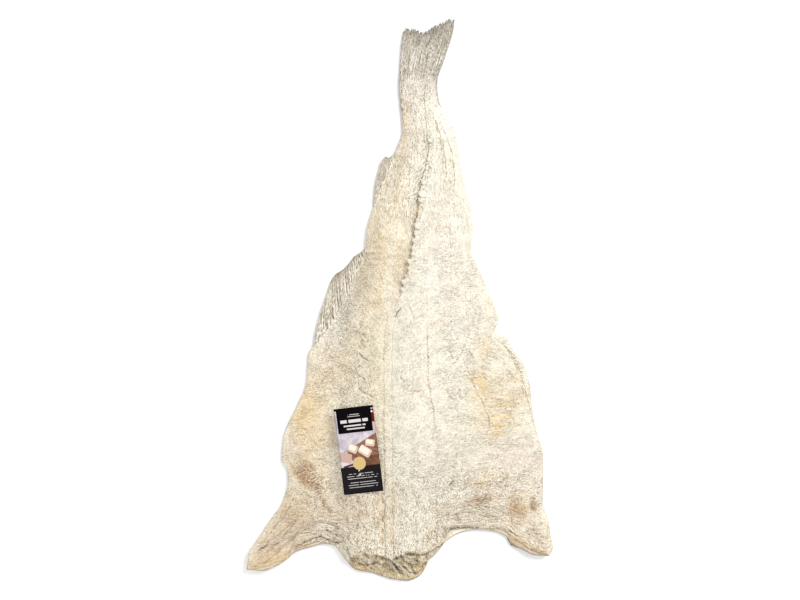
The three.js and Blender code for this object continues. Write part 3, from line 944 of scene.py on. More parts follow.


# Masks for the flesh's stains, its painted shade and painted light, the salt and the loose fibres
def stainAndPaintedLightMasks(p):
    x, y, off = p["x"], p["y"], p["off"]
    wander = 9 * layered(x / 22, y / 22, 3, 101), 9 * layered(x / 22, y / 22, 3, 105)
    near = 3 * layered(x / 8, y / 8, 2, 109), 3 * layered(x / 8, y / 8, 2, 110)
    masks = {}
    for name in ("tan", "brown", "pink", "bright", "shade", "pale"):
        spots = stainsAndPaintedLight[name]
        wide = [spot for spot in spots if min(spot[2:4]) > 9]
        small = [spot for spot in spots if min(spot[2:4]) <= 9]
        wideMask = blobs(x + wander[0], y + wander[1], wide)
        masks[name] = np.maximum(wideMask, blobs(x + near[0], y + near[1], small))
    warm = 0.9 * smooth((6 - off) / 22) + 0.45 * smooth((off - 85) / 50)
    masks["warm"] = clamp(warm + 0.5 * smooth((-250 - y) / 70))
    bands = p["ribShare"] * smooth(p["ribs"] * 0.8 + 0.3)
    brim = smooth(1 - p["fromHead"] / 5) * (1 - p["napeFace"])
    masks["tan"] = clamp(np.maximum(masks["tan"], 0.9 * brim) * (1 - 0.3 * bands))
    masks["pale"] = np.maximum(masks["pale"], 0.5 * bands)
    masks["nape"] = clamp(p["napeFace"] * 1.1)
    # Painted shade in the nape's hollows and sunken folds
    sunk = smooth((-0.1 - p["napeFolds"]) / 0.22)
    masks["hollowShade"] = np.maximum(0.6 * blobs(x + near[0], y + near[1], nape["hollowShade"]), sunk) * p["napeFace"]
    masks["tailing"] = smooth((y - 262 + 4 * near[0]) / 30)
    masks["edging"] = smooth(1 - p["edge"] / 4.5) * clamp(0.2 + 1.2 * layered(x / 15, y / 15, 2, 111))
    masks["edging"] = masks["edging"] * (1 - p["onFin"])
    # Painted shade in the broad hollows and the fine creases, and painted highlight on the fine crests, from
    # the height around each point
    masks["cavity"] = clamp(0.5 + p["cavity"] / 2.6)
    masks["crease"] = clamp(p["fineCavity"] / 0.4 - 0.1)
    masks["crestHighlight"] = clamp(-p["fineCavity"] / 0.4 - 0.1)
    # Painted shade in the carved furrows and the folds between the muscle blocks
    masks["furrowShade"] = clamp(np.maximum(-p["carving"] / 1.1 - 0.1, -p["muscle"] / 1.5 - 0.15))
    masks["speckled"] = blobs(x + wander[0], y + wander[1], stainsAndPaintedLight["speckled"])
    spots = blobs(x + near[0], y + near[1], stainsAndPaintedLight["rough"])
    low = smooth((-222 - y) / 36) * (0.8 + 0.35 * smooth((60 - p["fromHead"]) / 40))
    low = low * (1 - 0.6 * bell(off + 4, 16) * smooth((y + 350) / 20))
    low = low * (1 - 0.85 * smooth((-118 - x) / 24)) * (1 - 0.35 * smooth((x - 130) / 30))
    upper = 0.45 * smooth((y - 90) / 60) * (off < 8)
    masks["rough"] = np.maximum.reduce([spots, low, upper, 1.4 * p["napeFace"]])
    ends = np.maximum(p["stalk"], p["foot"])
    masks["lengthwise"] = clamp(ends + 0.7 * p["leftSide"] * smooth((y - 60) / 80))
    for name in ("slant", "channel", "arching", "fromHead", *strokes):
        masks[name] = p[name]
    masks["golden"] = np.maximum(masks["golden"], 0.8 * bell(p["napeFolds"] - 0.03, 0.08) * p["napeFace"])
    # Painted highlight on the crests of the nape's folds
    masks["boneAndHighlight"] = np.maximum(masks["boneAndHighlight"], smooth((p["napeFolds"] - 0.12) / 0.16) * p["napeFace"])
    salty = 0.25 + p["cavity"] * 0.5 + 0.4 * layered(x / 20, y / 20, 2, 113)
    masks["salt"] = clamp(salty) * smooth(p["edge"] / 6)
    frayed = 0.1 + 0.4 * p["leftSide"] + 0.5 * p["stalk"] + 0.5 * layered(x / 17, y / 17, 2, 115)
    masks["fray"] = clamp(frayed)
    masks["fray"] = masks["fray"] * smooth(p["edge"] / 5) * (np.abs(off) > 2)
    masks["lie"] = 0.5 * noise(x / 40, y / 40, 117) - (1 - masks["lengthwise"]) * smooth((-40 - y) / 60) * 1.2
    return masks


def fleshFinish():
    f = Finish("driedFlesh")
    place = f.place()
    cloud = f.grain(place, 24, 4, 0.6)
    patch = f.grain(place, 62, 3, 0.6, 0.3)
    mottle = f.grain(place, 170, 3, 0.7, 0.4)
    grit = f.grain(place, 700, 1, 0.6)
    rough = f.mask("rough")

    def strands(across, along, turn):  # fine strokes, and the coarser noise that the creases follow
        fine = f.grain(f.stretched(place, across, along, 400, turn), 1, 1, 0.6, 0.4)
        return fine, f.grain(f.stretched(place, across * 0.3, along * 0.42, 110, turn), 1, 2, 0.6, 1.2)

    flow, crease = strands(330, 760, 8)
    turns = (("slant", 760, 260, -46), ("channel", 760, 290, 38), ("lengthwise", 760, 240, 2))
    for mask, across, along, turn in turns:
        fine, coarse = strands(across, along, turn)
        flow, crease = flow + (fine - flow) * f.mask(mask), crease + (coarse - crease) * f.mask(mask)
    apart = f.node("ShaderNodeSeparateXYZ", {}, {"Vector": place})
    arcs = f.node("ShaderNodeCombineXYZ", {}, {"X": apart * 170, "Y": f.mask("fromHead") * 0.7})
    flow = flow + (f.grain(arcs, 1, 2, 0.6, 0.5) - flow) * f.mask("arching")
    crease = crease + (f.grain(arcs, 0.3, 2, 0.6, 1.0) - crease) * f.mask("arching")
    busy = (cloud * 0.5 + patch * 0.5).between(0.45, 0.56).most(rough)
    plain = 1 - 0.65 * f.mask("nape")
    wrinkle = f.lines(crease, 0.06) * (0.2 + 0.8 * patch.between(0.42, 0.58)) * plain
    net = f.lines(f.grain(place, 110, 2, 0.6, 0.9), 0.05) * cloud.between(0.45, 0.6)

    cream, paleCream, white = (225, 219, 202), (228, 223, 210), (236, 234, 226)
    f.colour = f.mix(f.mask("warm"), cream, (232, 220, 197))
    f.paint(f.mask("pale"), paleCream)
    f.paint(f.mask("pink"), (220, 205, 192))
    # painted shade beside the groove, in the channel and in the loin's valleys
    f.paint(f.mask("shade") * 0.8, (207, 200, 178))
    tan = f.mask("tan") * (0.75 + 0.5 * patch)
    f.paint(tan, (222, 194, 144))
    brown = f.mask("brown") * (0.6 + 0.8 * mottle)
    f.paint(brown, (172, 137, 96))
    # painted light on the slope beside the long anal fin, and paler patches on the loin, stalk and left flank
    f.paint(f.mask("bright") * 0.8, (236, 230, 217))
    # painted shade in the channel left of the groove, under the right fillet's ledge
    f.stainAndShade(f.mask("channel") * (0.1 + 0.4 * patch), (214, 206, 180))
    f.paint(f.mask("tailing") * (0.5 + 0.7 * mottle), (206, 198, 188))
    # the cut face's own golden colour, darkened further as painted shade because it slopes away from the
    # light
    f.paint(f.mask("nape") * (0.65 + 0.4 * mottle), (192, 174, 128))
    # painted shade in the nape's hollows and sunken folds
    f.paint(f.mask("hollowShade") * 0.85, (142, 124, 84))
    f.paint(f.mask("golden") * 0.8, (200, 164, 98))
    # pale bone, and painted highlights on the rolled edge and the nape's fold crests
    f.paint(f.mask("boneAndHighlight") * 0.8, (222, 210, 186))
    f.stainAndShade(cloud.between(0.56, 0.66) * 0.3, (255, 248, 240))
    f.paint(f.mask("edging") * 0.4, (206, 188, 154))
    # painted shade in the broad hollows
    f.stainAndShade(f.mask("cavity").between(0.5, 1.0) * 0.3, (236, 222, 190))
    f.stainAndShade(wrinkle * (0.2 + 0.5 * rough), (194, 186, 164))
    f.stainAndShade(net * 0.3 * plain, (206, 192, 160))
    # painted shade in the fine creases, made golden
    f.stainAndShade(f.mask("crease") * (0.3 + 0.5 * f.mask("nape")), (196, 180, 144))
    # painted shade in the carved furrows and muscle folds
    f.stainAndShade(f.mask("furrowShade") * 0.6, (176, 148, 98))
    # painted highlight on the fine crests
    f.paint(f.mask("crestHighlight") * 0.25, white)
    f.stainAndShade(f.mask("torn") * 0.6, (190, 166, 120))
    # painted shadow in the creases and under the rolled edges
    f.stainAndShade(f.mask("dark") * 0.85, (122, 92, 50))
    f.stainAndShade(f.mask("cracked") * grit.between(0.3, 0.6), (168, 146, 112))
    fine = flow.between(0.5, 0.34) * (0.38 + 0.03 * busy + 0.5 * rough)
    f.stainAndShade(fine * (1 - 0.3 * f.mask("arching")) * plain, (180, 173, 156))
    f.paint(flow.between(0.52, 0.64) * (0.36 + 0.04 * busy + 0.3 * rough) * plain, white)
    dots = (0.26 + 0.04 * busy + 0.42 * rough).most(f.mask("speckled") * 0.7)
    f.stainAndShade(grit.between(0.55, 0.64) * dots * plain, (144, 136, 118))
    stainless = 1 - (f.mask("brown") * 0.7).most(f.mask("tan") * 0.5)
    f.paint(grit.between(0.44, 0.35) * (0.26 + 0.4 * rough) * plain * stainless, white)
    relief = grit * 0.5 + flow - wrinkle * 0.5
    inputs = {"Base Color": f.colour, "Roughness": 0.6 + 0.25 * mottle, "Specular IOR Level": 0.3}
    return f.surface({**inputs, "Normal": f.bump(relief, 0.0007)})


fleshMaterial = fleshFinish()
fillets = {}
for side in ("left", "right"):
    p = sculptFillet(side)
    name = side + "Fillet"
    top = metres(p["x"], p["y"], p["high"])
    foot = metres(p["x"], p["y"], p["low"] + thickness["skin"])
    piece = closedSheet(name, top, foot, sculpt["underStep"], fleshMaterial, stainAndPaintedLightMasks(p))
    fillets[side] = {"places": p, "piece": piece}
    print(name + ":", len(piece.data.polygons), "faces")


# The skin side, which shows past the flesh at the cut edges

skin = {
    "rows": 240, "columns": 144, "tailEnd": 0.935, "wear": 0.12, "tucked": 1.2, "thick": 0.9,
    "wrinkle": 0.35, "backWidth": 74, "lateralOff": 78, "fold": 0.5,
    "tint": [  # soft ovals of brown on the margin, [x, y, half length, half width, turn, strength]
        [-136, -346, 24, 8, 14, 1.0], [-172, -372, 22, 8, 20, 0.8], [165, -345, 30, 8, -27, 0.9],
        [0, 285, 60, 8, 88, 1.0], [30, -390, 14, 8, 0, 0.6], [-60, -378, 20, 8, 0, 0.8],
    ],
}


def sculptSkin():
    s = skin
    u, v = np.meshgrid(np.linspace(0, 1, s["columns"] + 1), np.linspace(0, 1, s["rows"] + 1))
    u = lerp(u, (1 - np.cos(np.pi * u)) / 2, 0.4)
    tucked = s["tucked"] * smooth(v * 20) * smooth((0.86 - v) * 15)  # under the flesh along the flanks
    p = plan(u, v, s["wear"] + tucked, s["tailEnd"])
    x, y, edge = p["x"], p["y"], p["edge"]
    low = underside(x, y, p["rim"])
    wrinkles = 1.2 * crumple(x / 16, y / 9, 3, 121) * smooth(edge / 8)
    back = bell(x - spineAt(y), s["backWidth"]) * smooth((330 + y) / 60)
    ridge = 0.3 * bell(np.abs(x - spineAt(y)) - s["lateralOff"] * smooth((300 - y) / 240), 2.2)
    p["low"] = low + s["wrinkle"] * wrinkles + ridge * smooth(edge / 6) + s["fold"] * smooth(edge / 10)
    p["inner"] = low + lerp(0.35, s["thick"] + s["fold"], smooth(edge / 6))
    p["low"][[0, -1]] += 0.25
    masks = {"back": back, "tint": blobs(x, y, s["tint"])}
    masks["lateral"] = bell(np.abs(x - spineAt(y)) - s["lateralOff"] * smooth((300 - y) / 240), 3.5)
    return metres(x, y, p["low"]), metres(x, y, p["inner"]), masks


def skinFinish():
    f = Finish("codSkin")
    place = f.place()
    cloud = f.grain(place, 24, 5, 0.65, 0.6)
    mottle = f.grain(place, 90, 4, 0.7, 0.5)
    speck = f.grain(place, 700, 2, 0.6)
    scales = f.cells(f.stretched(place, 520, 380, 400, 10), 1)
    belly, back = (206, 198, 178), (120, 110, 86)
    f.colour = f.mix(f.mask("back") * (0.45 + 0.9 * cloud), belly, back)
    f.paint(mottle.between(0.48, 0.68) * (0.3 + 0.6 * f.mask("back")), (88, 76, 52))
    f.paint(f.mask("lateral") * 0.75, (222, 216, 198))
    f.stainAndShade(scales.between(0.3, 0.8) * 0.3, (190, 180, 160))
    inner = f.mix(cloud.between(0.35, 0.65) * 0.6, (240, 232, 214), (218, 202, 170))
    inner = f.mix(f.grain(place, 240, 3).between(0.5, 0.6) * 0.4, inner, (206, 190, 158), "MULTIPLY")
    inner = f.mix(f.mask("tint") * (0.2 + mottle), inner, (168, 130, 82))
    f.colour = f.mix(f.mask("front").between(0.4, 0.9), inner, f.colour)
    f.stainAndShade(speck.between(0.55, 0.8) * 0.3, (200, 186, 160))
    relief = scales * 0.5 + mottle + speck * 0.3
    inputs = {"Base Color": f.colour, "Roughness": 0.5 + 0.3 * mottle, "Specular IOR Level": 0.35}
    return f.surface({**inputs, "Normal": f.bump(relief, 0.0004)})


skinFine, skinInner, skinMasks = sculptSkin()
skinPiece = closedSheet("skin", skinFine, skinInner, 1, skinFinish(), skinMasks, flip=True)
print("skin:", len(skinPiece.data.polygons), "faces")


# Fins: thin sheets with a ridge for each ray, and the rays themselves grown over them

fins = {
    "tailFin": {
        "rays": 34, "columns": 272, "rows": 96, "step": 4, "thick": [1.5, 0.55], "ridge": 0.45,
        "fray": 2.2, "teeth": 10.0, "tear": [(48.5, 376), (45, 366), (38, 354)],
        "root": [[0, 262], [0.2, 280], [0.45, 288], [0.75, 284], [1, 266]],  # [across, y], under the flesh
        "girth": 0.42, "fork": 0.42,
    },
    "pectoralStub": {
        "rays": 7, "columns": 84, "rows": 36, "step": 4, "thick": [1.8, 1.0], "ridge": 1.4,
        "fray": 0.8, "teeth": 1.4,
        "root": [(150, -327), (163, -333), (182, -343)], "bow": 0, "lift": 1.3,
        "tip": [(152, -340), (156, -347), (163, -350), (170, -352), (180, -357)],
        "girth": 0.5, "fork": 0.9,
    },
    "analFinLong": {
        "rays": 20, "columns": 240, "rows": 60, "step": 4, "thick": [1.4, 0.5], "ridge": 0.5,
        "fray": 1.4, "teeth": 1.2,
        "root": [-80, 66], "tuck": 7, "bow": -3.5,
        "tip": [(-102, 4), (-97.5, 22), (-90, 34), (-79, 40.6), (-69, 51), (-65, 58), (-53, 66), (-47, 71)],
        "girth": 0.4, "fork": 0.5,
    },
    "analFinShort": {
        "rays": 14, "columns": 132, "rows": 40, "step": 4, "thick": [1.3, 0.5], "ridge": 0.4,
        "fray": 1.6, "teeth": 1.5,
        "root": [112, 196], "tuck": 6, "bow": -4,
        "tip": [(-26, 191), (-23, 196), (-19, 199.5), (-15, 196), (-11, 201)],
        "girth": 0.36, "fork": 0.6,
    },
}


def alongLine(points, share):  # the place a share of the way along a line through the points
    spots = np.array(points, float)
    reach = np.concatenate([[0], np.cumsum(np.hypot(*np.diff(spots, axis=0).T))])
    return np.interp(share * reach[-1], reach, spots[:, 0]), np.interp(share * reach[-1], reach, spots[:, 1])


def finPlace(name, s, t):  # the place of a point s across the rays and t along them
    fin = fins[name]
    ragged = fin["fray"] * (0.5 + 0.5 * layered(s * fin["rays"] * 0.45, 0 * s, 2, 131))
    ragged = ragged + 0.6 * fin["fray"] * np.abs(noise(s * fin["rays"] * 1.1, 0 * s, 133))
    beat = s * fin["rays"] * 0.55 + 0.9 * layered(s * fin["rays"] * 0.3, 0 * s, 2, 138)
    teeth = fin["teeth"] * np.abs(np.cos(np.pi * beat)) ** 3
    ragged = ragged + teeth * clamp(0.6 + noise(beat * 0.7, 0 * s, 139))
    if name == "tailFin":
        rootY = through(fin["root"])(s)
        tipX = lerp(tailAtX[0], tailAtX[-1], s)
        y = lerp(rootY, tailAt(tipX) - ragged, t)
        left, right = leftAt(y) + 0.3 + 0.5 * noise(y / 7, 0 * y, 134), rightAt(y) - 0.3
        return lerp(left, right, s), y
    if "tuck" in fin:
        rootY = lerp(*fin["root"], s)
        rootX = leftAt(rootY) + fin["tuck"]
    else:
        rootX, rootY = alongLine(fin["root"], s)
    tipX, tipY = alongLine(fin["tip"], s)
    lean = np.hypot(tipX - rootX, tipY - rootY) + 1e-6
    t = t * (1 - ragged / lean * 0.5)
    bow = fin["bow"] * 4 * t * (1 - t) * (1 - s)
    return lerp(rootX, tipX, t) + bow, lerp(rootY, tipY, t)


tailAtX = [x for x, y in outline["tailEdge"]]


def finHeight(x, y):
    outer = np.minimum(x - leftAt(y) + finReach(y), rightAt(y) - x)
    return underside(x, y, np.maximum(np.minimum(outer, 385 - y), 0)) + 0.5


def makeFin(name, material):
    fin = fins[name]
    s, t = np.meshgrid(np.linspace(0, 1, fin["columns"] + 1), np.linspace(0, 1, fin["rows"] + 1))
    x, y = finPlace(name, s, t)
    low = finHeight(x, y) + fin.get("lift", 0)
    ray = np.cos(np.pi * (s * fin["rays"] - 0.5)) ** 2
    thick = lerp(fin["thick"][0], fin["thick"][1], t)
    border = np.minimum(np.minimum(s, 1 - s) * fin["rays"], (1 - t) * 12)
    ripple = 0.35 * layered(x / 9, y / 16, 3, 135)
    top = low + (thick + fin["ridge"] * (ray - 0.5) + ripple) * smooth(0.3 + border)
    if name == "tailFin":
        tear = polyline(x, y, fin["tear"])[0]
        top = top - 0.9 * bell(tear, 0.9)
    fray = 0.1 + 0.9 * clamp(0.5 + 0.8 * layered(s * fin["rays"] * 0.4, 0 * s, 2, 140))
    sides = np.minimum(s, 1 - s if name == "tailFin" else 9) * fin["rays"] * 0.8
    rim = smooth(1 - np.minimum((1 - t) * 11, sides) / fray)
    masks = {"ray": ray, "reach": t, "rim": rim, "tear": 0 * s if name != "tailFin" else bell(tear, 1.1)}
    masks["across"] = s * np.hypot(x[0, -1] - x[0, 0], y[0, -1] - y[0, 0])
    masks["along"] = t * np.hypot(x[-1] - x[0], y[-1] - y[0])
    fine, plain = metres(x, y, top), metres(x, y, low)
    return closedSheet(name, fine, plain, fin["step"], material, masks)


def rayLines(name):  # guide lines along the rays, which fork towards the tip
    fin = fins[name]
    points, edges, girths = [], [], []
    t = np.linspace(0.06, 0.985, 26)
    for k in range(fin["rays"]):
        for side in (-1, 1):
            fork = side * 0.24 * smooth((t - fin["fork"]) / 0.4)
            s = clamp((k + 0.5 + fork + 0.12 * layered(t * 3 + k, 0 * t, 2, 137)) / fin["rays"])
            x, y = finPlace(name, s, t)
            z = finHeight(x, y) + fin.get("lift", 0) + lerp(fin["thick"][0], fin["thick"][1], t)
            z = z + 0.35 * layered(x / 9, y / 16, 3, 135)
            first = len(points)
            points += list(metres(x, y, z))
            edges += [(first + i, first + i + 1) for i in range(len(t) - 1)]
            girths += list(lerp(1.0, 0.45, t))
    mesh = bpy.data.meshes.new(name + "Lines")
    mesh.from_pydata([tuple(p) for p in points], edges, [])
    addMasks(mesh, {"girth": np.array(girths)})
    return mesh


def rayGrowth():
    g = Growth("rayGrowth")
    radius, lumps, seed = g.input("radius"), g.input("lumps"), g.input("seed", "Int")
    curve = g.node("GeometryNodeMeshToCurve", {}, {"Mesh": g.host})
    profile = g.node("GeometryNodeCurvePrimitiveCircle", {}, {"Resolution": 5, "Radius": 1.0})
    girth = g.named("girth") * radius * (1 + lumps * g.random(-1.0, 1.0, seed))
    inputs = {"Curve": curve, "Profile Curve": profile, "Scale": girth, "Fill Caps": True}
    g.close(g.node("GeometryNodeCurveToMesh", {}, inputs))
    return g


def finFinish(name, pitch, root, base, tip, line):
    f = Finish(name)
    place = f.place()
    cloud = f.grain(place, 40, 4, 0.6)
    mottle = f.grain(place, 160, 4, 0.65, 0.4)
    across, along = f.mask("across") * pitch, f.mask("along")
    lanes = f.node("ShaderNodeCombineXYZ", {}, {"X": across, "Y": along * 0.03})
    streak = f.grain(lanes, 1, 2, 0.6, 0.1)
    steps = f.node("ShaderNodeCombineXYZ", {}, {"X": across * 1.3, "Y": along * 0.22})
    dash = f.grain(steps, 1, 1, 0.6, 0.2)
    f.colour = f.mix(f.mask("reach").between(0.0, 0.4), root, base)
    f.stainAndShade(cloud.between(0.3, 0.7), (236, 232, 226))
    f.paint((1 - f.mask("ray")) * (0.45 + 0.5 * f.mask("reach")), line)
    f.stainAndShade(streak.between(0.5, 0.42) * 0.8, (168, 160, 142))
    f.paint(streak.between(0.54, 0.62) * 0.7, (232, 228, 220))
    f.paint(dash.between(0.44, 0.34) * 0.7, (236, 232, 224))
    f.stainAndShade(dash.between(0.54, 0.62) * 0.8, (128, 120, 102))
    reach = f.mask("reach").between(0.66, 1.0)
    f.paint(reach * (0.2 + 0.8 * mottle), tip)
    f.paint(f.mask("rim") * (0.6 + 0.6 * mottle), f.mix(1.0, tip, (178, 176, 158), "MULTIPLY"))
    f.stainAndShade(f.mask("tear") * 0.7, (130, 118, 92))
    inputs = {"Base Color": f.colour, "Roughness": 0.6, "Specular IOR Level": 0.35}
    return f.surface({**inputs, "Normal": f.bump(streak + dash, 0.0003)})


def rayFinish(name, base, dark):
    f = Finish(name)
    place = f.place()
    joints = f.grain(f.stretched(place, 300, 500, 300), 1, 2, 0.5)
    colour = f.mix(joints.between(0.4, 0.6), base, dark)
    return f.surface({"Base Color": colour, "Roughness": 0.5, "Specular IOR Level": 0.4})


greyFin = finFinish("greyFin", 0.62, (216, 210, 199), (210, 205, 194), (118, 108, 88), (150, 142, 127))
creamFin = finFinish("creamFin", 0.3, (224, 217, 203), (218, 211, 198), (138, 124, 98), (148, 138, 116))
greyRay = rayFinish("greyRay", (206, 200, 189), (164, 156, 140))
creamRay = rayFinish("creamRay", (220, 213, 198), (190, 178, 156))
rays = rayGrowth()
finPieces = {}
for name in fins:
    isTail = name == "tailFin"
    finPieces[name] = makeFin(name, greyFin if isTail else creamFin)
    values = {"radius": fins[name]["girth"] * mm, "lumps": 0.18, "seed": 5}
    values["finish"] = greyRay if isTail else creamRay
    finPieces[name + "Rays"] = rays.grow(name + "Rays", rayLines(name), values)


# Small things that grow on the flesh: torn flakes in the groove, loose fibres and salt

flakes = {
    "lines": [  # each [first y, last y, how far from the groove, count, length, lean in degrees]
        [232, 162, 1.2, 12, 5.0, 30], [160, 92, 2.4, 9, 9.5, 40], [88, 12, 1.0, 9, 6.5, 22],
    ],
    "width": 0.42, "thick": 0.09, "uneven": 0.5, "jitter": 1.4, "seed": 8,
}
fibres = {"density": 42000, "length": 4.2, "girth": 0.2, "uneven": 0.6, "swing": 0.6, "seed": 11}
salt = {"density": 60000, "smallest": 0.35, "largest": 0.95, "seed": 4}


def flakeLine(first, last, off):
    y = np.linspace(first, last, 40)
    x = splitAt(y) + off
    p = fillets["right"]["places"]
    z = [p["high"].flat[np.argmin((p["x"] - a) ** 2 + (p["y"] - b) ** 2)] for a, b in zip(x, y)]
    mesh = bpy.data.meshes.new("flakeLine")
    edges = [(i, i + 1) for i in range(len(y) - 1)]
    mesh.from_pydata([tuple(q) for q in metres(x, y, np.array(z) - 0.4)], edges, [])
    return mesh


def flakeGrowth():
    g = Growth("flakeGrowth")
    count, length, lean = g.input("count", "Int"), g.input("length"), g.input("lean")
    width, thick, uneven, seed = g.input("width"), g.input("thick"), g.input("uneven"), g.input("seed", "Int")
    jitter = g.input("jitter")
    bend = {"Resolution": 10, "Start": (0.0, -0.5, 0.0), "Middle": (0.12, 0.0, 0.3), "End": (0.0, 0.5, 0.06)}
    path = g.node("GeometryNodeCurveQuadraticBezier", {}, bend)
    circle = g.node("GeometryNodeCurvePrimitiveCircle", {}, {"Resolution": 8, "Radius": 1.0})
    flat = g.node("GeometryNodeTransform", {}, {"Geometry": circle, "Scale": g.vector(width, thick, 1.0)})
    share = g.node("GeometryNodeSplineParameter", {}, {}, "Factor")
    taper = (share * math.pi).sine().most(0.02) ** 0.7
    inputs = {"Curve": path, "Profile Curve": flat, "Scale": taper, "Fill Caps": True}
    leaf = g.node("GeometryNodeCurveToMesh", {}, inputs)
    line = g.node("GeometryNodeMeshToCurve", {}, {"Mesh": g.host})
    evenly = g.node("GeometryNodeResampleCurve", {}, {"Curve": line, "Count": count})
    strewn = g.vector(*[jitter * g.random(-1.0, 1.0, seed + k) for k in (3, 4)], 0.0)
    spots = g.node("GeometryNodeSetPosition", {}, {"Geometry": evenly, "Offset": strewn})
    turn = lean + 0.45 * g.random(-1.0, 1.0, seed)
    rotation = g.node("FunctionNodeEulerToRotation", {}, {0: g.vector(0.0, g.random(-0.3, 0.3, seed), turn)})
    size = length * (1 + uneven * g.random(-1.0, 1.0, seed))
    placed = {"Points": spots, "Instance": leaf, "Rotation": rotation, "Scale": g.vector(size, size, size)}
    g.close(g.node("GeometryNodeInstanceOnPoints", {}, placed))
    return g


def fibreGrowth():
    g = Growth("fibreGrowth")
    density, length, girth = g.input("density"), g.input("length"), g.input("girth")
    uneven, swing, seed = g.input("uneven"), g.input("swing"), g.input("seed", "Int")
    amount = g.named("fray") * g.named("front") * density
    settings = {"distribute_method": "RANDOM"}
    inputs = {"Mesh": g.host, "Density": amount, "Seed": seed}
    spots = g.node("GeometryNodeDistributePointsOnFaces", settings, inputs)
    bend = {"Resolution": 4, "Start": (0.0, -0.5, -0.05), "Middle": (0.1, 0.0, 0.14)}
    bend["End"] = (0.0, 0.5, -0.05)
    path = g.node("GeometryNodeCurveQuadraticBezier", {}, bend)
    circle = g.node("GeometryNodeCurvePrimitiveCircle", {}, {"Resolution": 4, "Radius": 1.0})
    share = g.node("GeometryNodeSplineParameter", {}, {}, "Factor")
    taper = (share * math.pi).sine().most(0.12) * (girth / length)
    strand = g.node("GeometryNodeCurveToMesh", {}, {"Curve": path, "Profile Curve": circle, "Scale": taper})
    turn = g.named("lie") + swing * g.random(-1.0, 1.0, seed)
    rotation = g.node("FunctionNodeEulerToRotation", {}, {0: g.vector(0.0, 0.0, turn)})
    size = length * (1 + uneven * g.random(-1.0, 1.0, seed))
    placed = {"Points": spots, "Instance": strand, "Rotation": rotation, "Scale": g.vector(size, size, size)}
    g.close(g.node("GeometryNodeInstanceOnPoints", {}, placed))
    return g


def saltGrowth():
    g = Growth("saltGrowth")
    density, smallest, largest = g.input("density"), g.input("smallest"), g.input("largest")
    seed = g.input("seed", "Int")
    inputs = {"Mesh": g.host, "Density": g.named("salt") * g.named("front") * density, "Seed": seed}
    spots = g.node("GeometryNodeDistributePointsOnFaces", {"distribute_method": "RANDOM"}, inputs)
    grain = g.node("GeometryNodeMeshCube", {}, {"Size": (1.0, 0.85, 0.7)})
    turns = [g.random(0.0, 2 * math.pi, seed + k) for k in (1, 2, 3)]
    rotation = g.node("FunctionNodeEulerToRotation", {}, {0: g.vector(*turns)})
    size = g.random(smallest, largest, seed + 9)
    placed = {"Points": spots, "Instance": grain, "Rotation": rotation, "Scale": g.vector(size, size, size)}
    g.close(g.node("GeometryNodeInstanceOnPoints", {}, placed))
    return g


def fibreFinish():
    f = Finish("looseFibre")
    place = f.place()
    cloud = f.grain(place, 60, 3)
    colour = f.mix(cloud.between(0.3, 0.7), (224, 218, 204), (206, 193, 168))
    return f.surface({"Base Color": colour, "Roughness": 0.7, "Specular IOR Level": 0.3})


def saltFinish():
    f = Finish("saltGrain")
    cloud = f.grain(f.place(), 300, 2)
    colour = f.mix(cloud, (240, 239, 235), (228, 225, 217))
    return f.surface({"Base Color": colour, "Roughness": 0.25, "Specular IOR Level": 0.5})


fibreMaterial, saltMaterial = fibreFinish(), saltFinish()
flakeTree, fibreTree, saltTree = flakeGrowth(), fibreGrowth(), saltGrowth()
growths = []
for number, (first, last, off, count, length, lean) in enumerate(flakes["lines"]):
    values = {"count": count, "length": length * mm, "lean": math.radians(lean), "finish": fleshMaterial}
    values |= {key: flakes[key] for key in ("width", "thick", "uneven")} | {"seed": flakes["seed"] + number}
    values["jitter"] = flakes["jitter"] * mm
    growths.append(flakeTree.grow(f"flakes{number + 1}", flakeLine(first, last, off), values))
for side in fillets:
    mesh = fillets[side]["piece"].data
    values = {key: fibres[key] for key in ("density", "uneven", "swing", "seed")} | {"finish": fibreMaterial}
    values |= {key: fibres[key] * mm for key in ("length", "girth")}
    growths.append(fibreTree.grow(side + "Fibres", mesh, values))
    values = {"density": salt["density"], "seed": salt["seed"], "finish": saltMaterial}
    values |= {key: salt[key] * mm for key in ("smallest", "largest")}
    fillets[side]["salt"] = saltTree.grow(side + "Salt", mesh, values, smoothly=False)


# The printed card tag

card = {
    "width": 56, "length": 120, "thick": 0.7, "turn": 7.2, "roll": 9.5, "columns": 24, "rows": 48, "step": 4,
    "curl": 0.5, "wave": 0.25,
    "blocks": [  # in the card's picture, [x, y, half width, half height, turn]
        (-7.5, 2.6, 6.6, 5.6, -30), (9, -2.4, 8.8, 6.2, -38), (17.5, 8.4, 6.6, 4.8, -14),
    ],
    "bars": [  # in place of lettering, [x, y, half width, half height]
        (-1, 50, 8, 0.35), (-1, 47.4, 9, 0.3), (-1, 41, 19.5, 2.1), (-1, 34.6, 15.5, 1.0),
        (-1, 30.2, 14, 0.9), (1, -32.5, 19, 0.28), (1, -35.8, 22, 0.28), (1, -39, 21, 0.28),
        (1, -44.6, 18, 0.28), (1, -47.9, 21, 0.28), (1, -51.2, 20, 0.28),
    ],
}


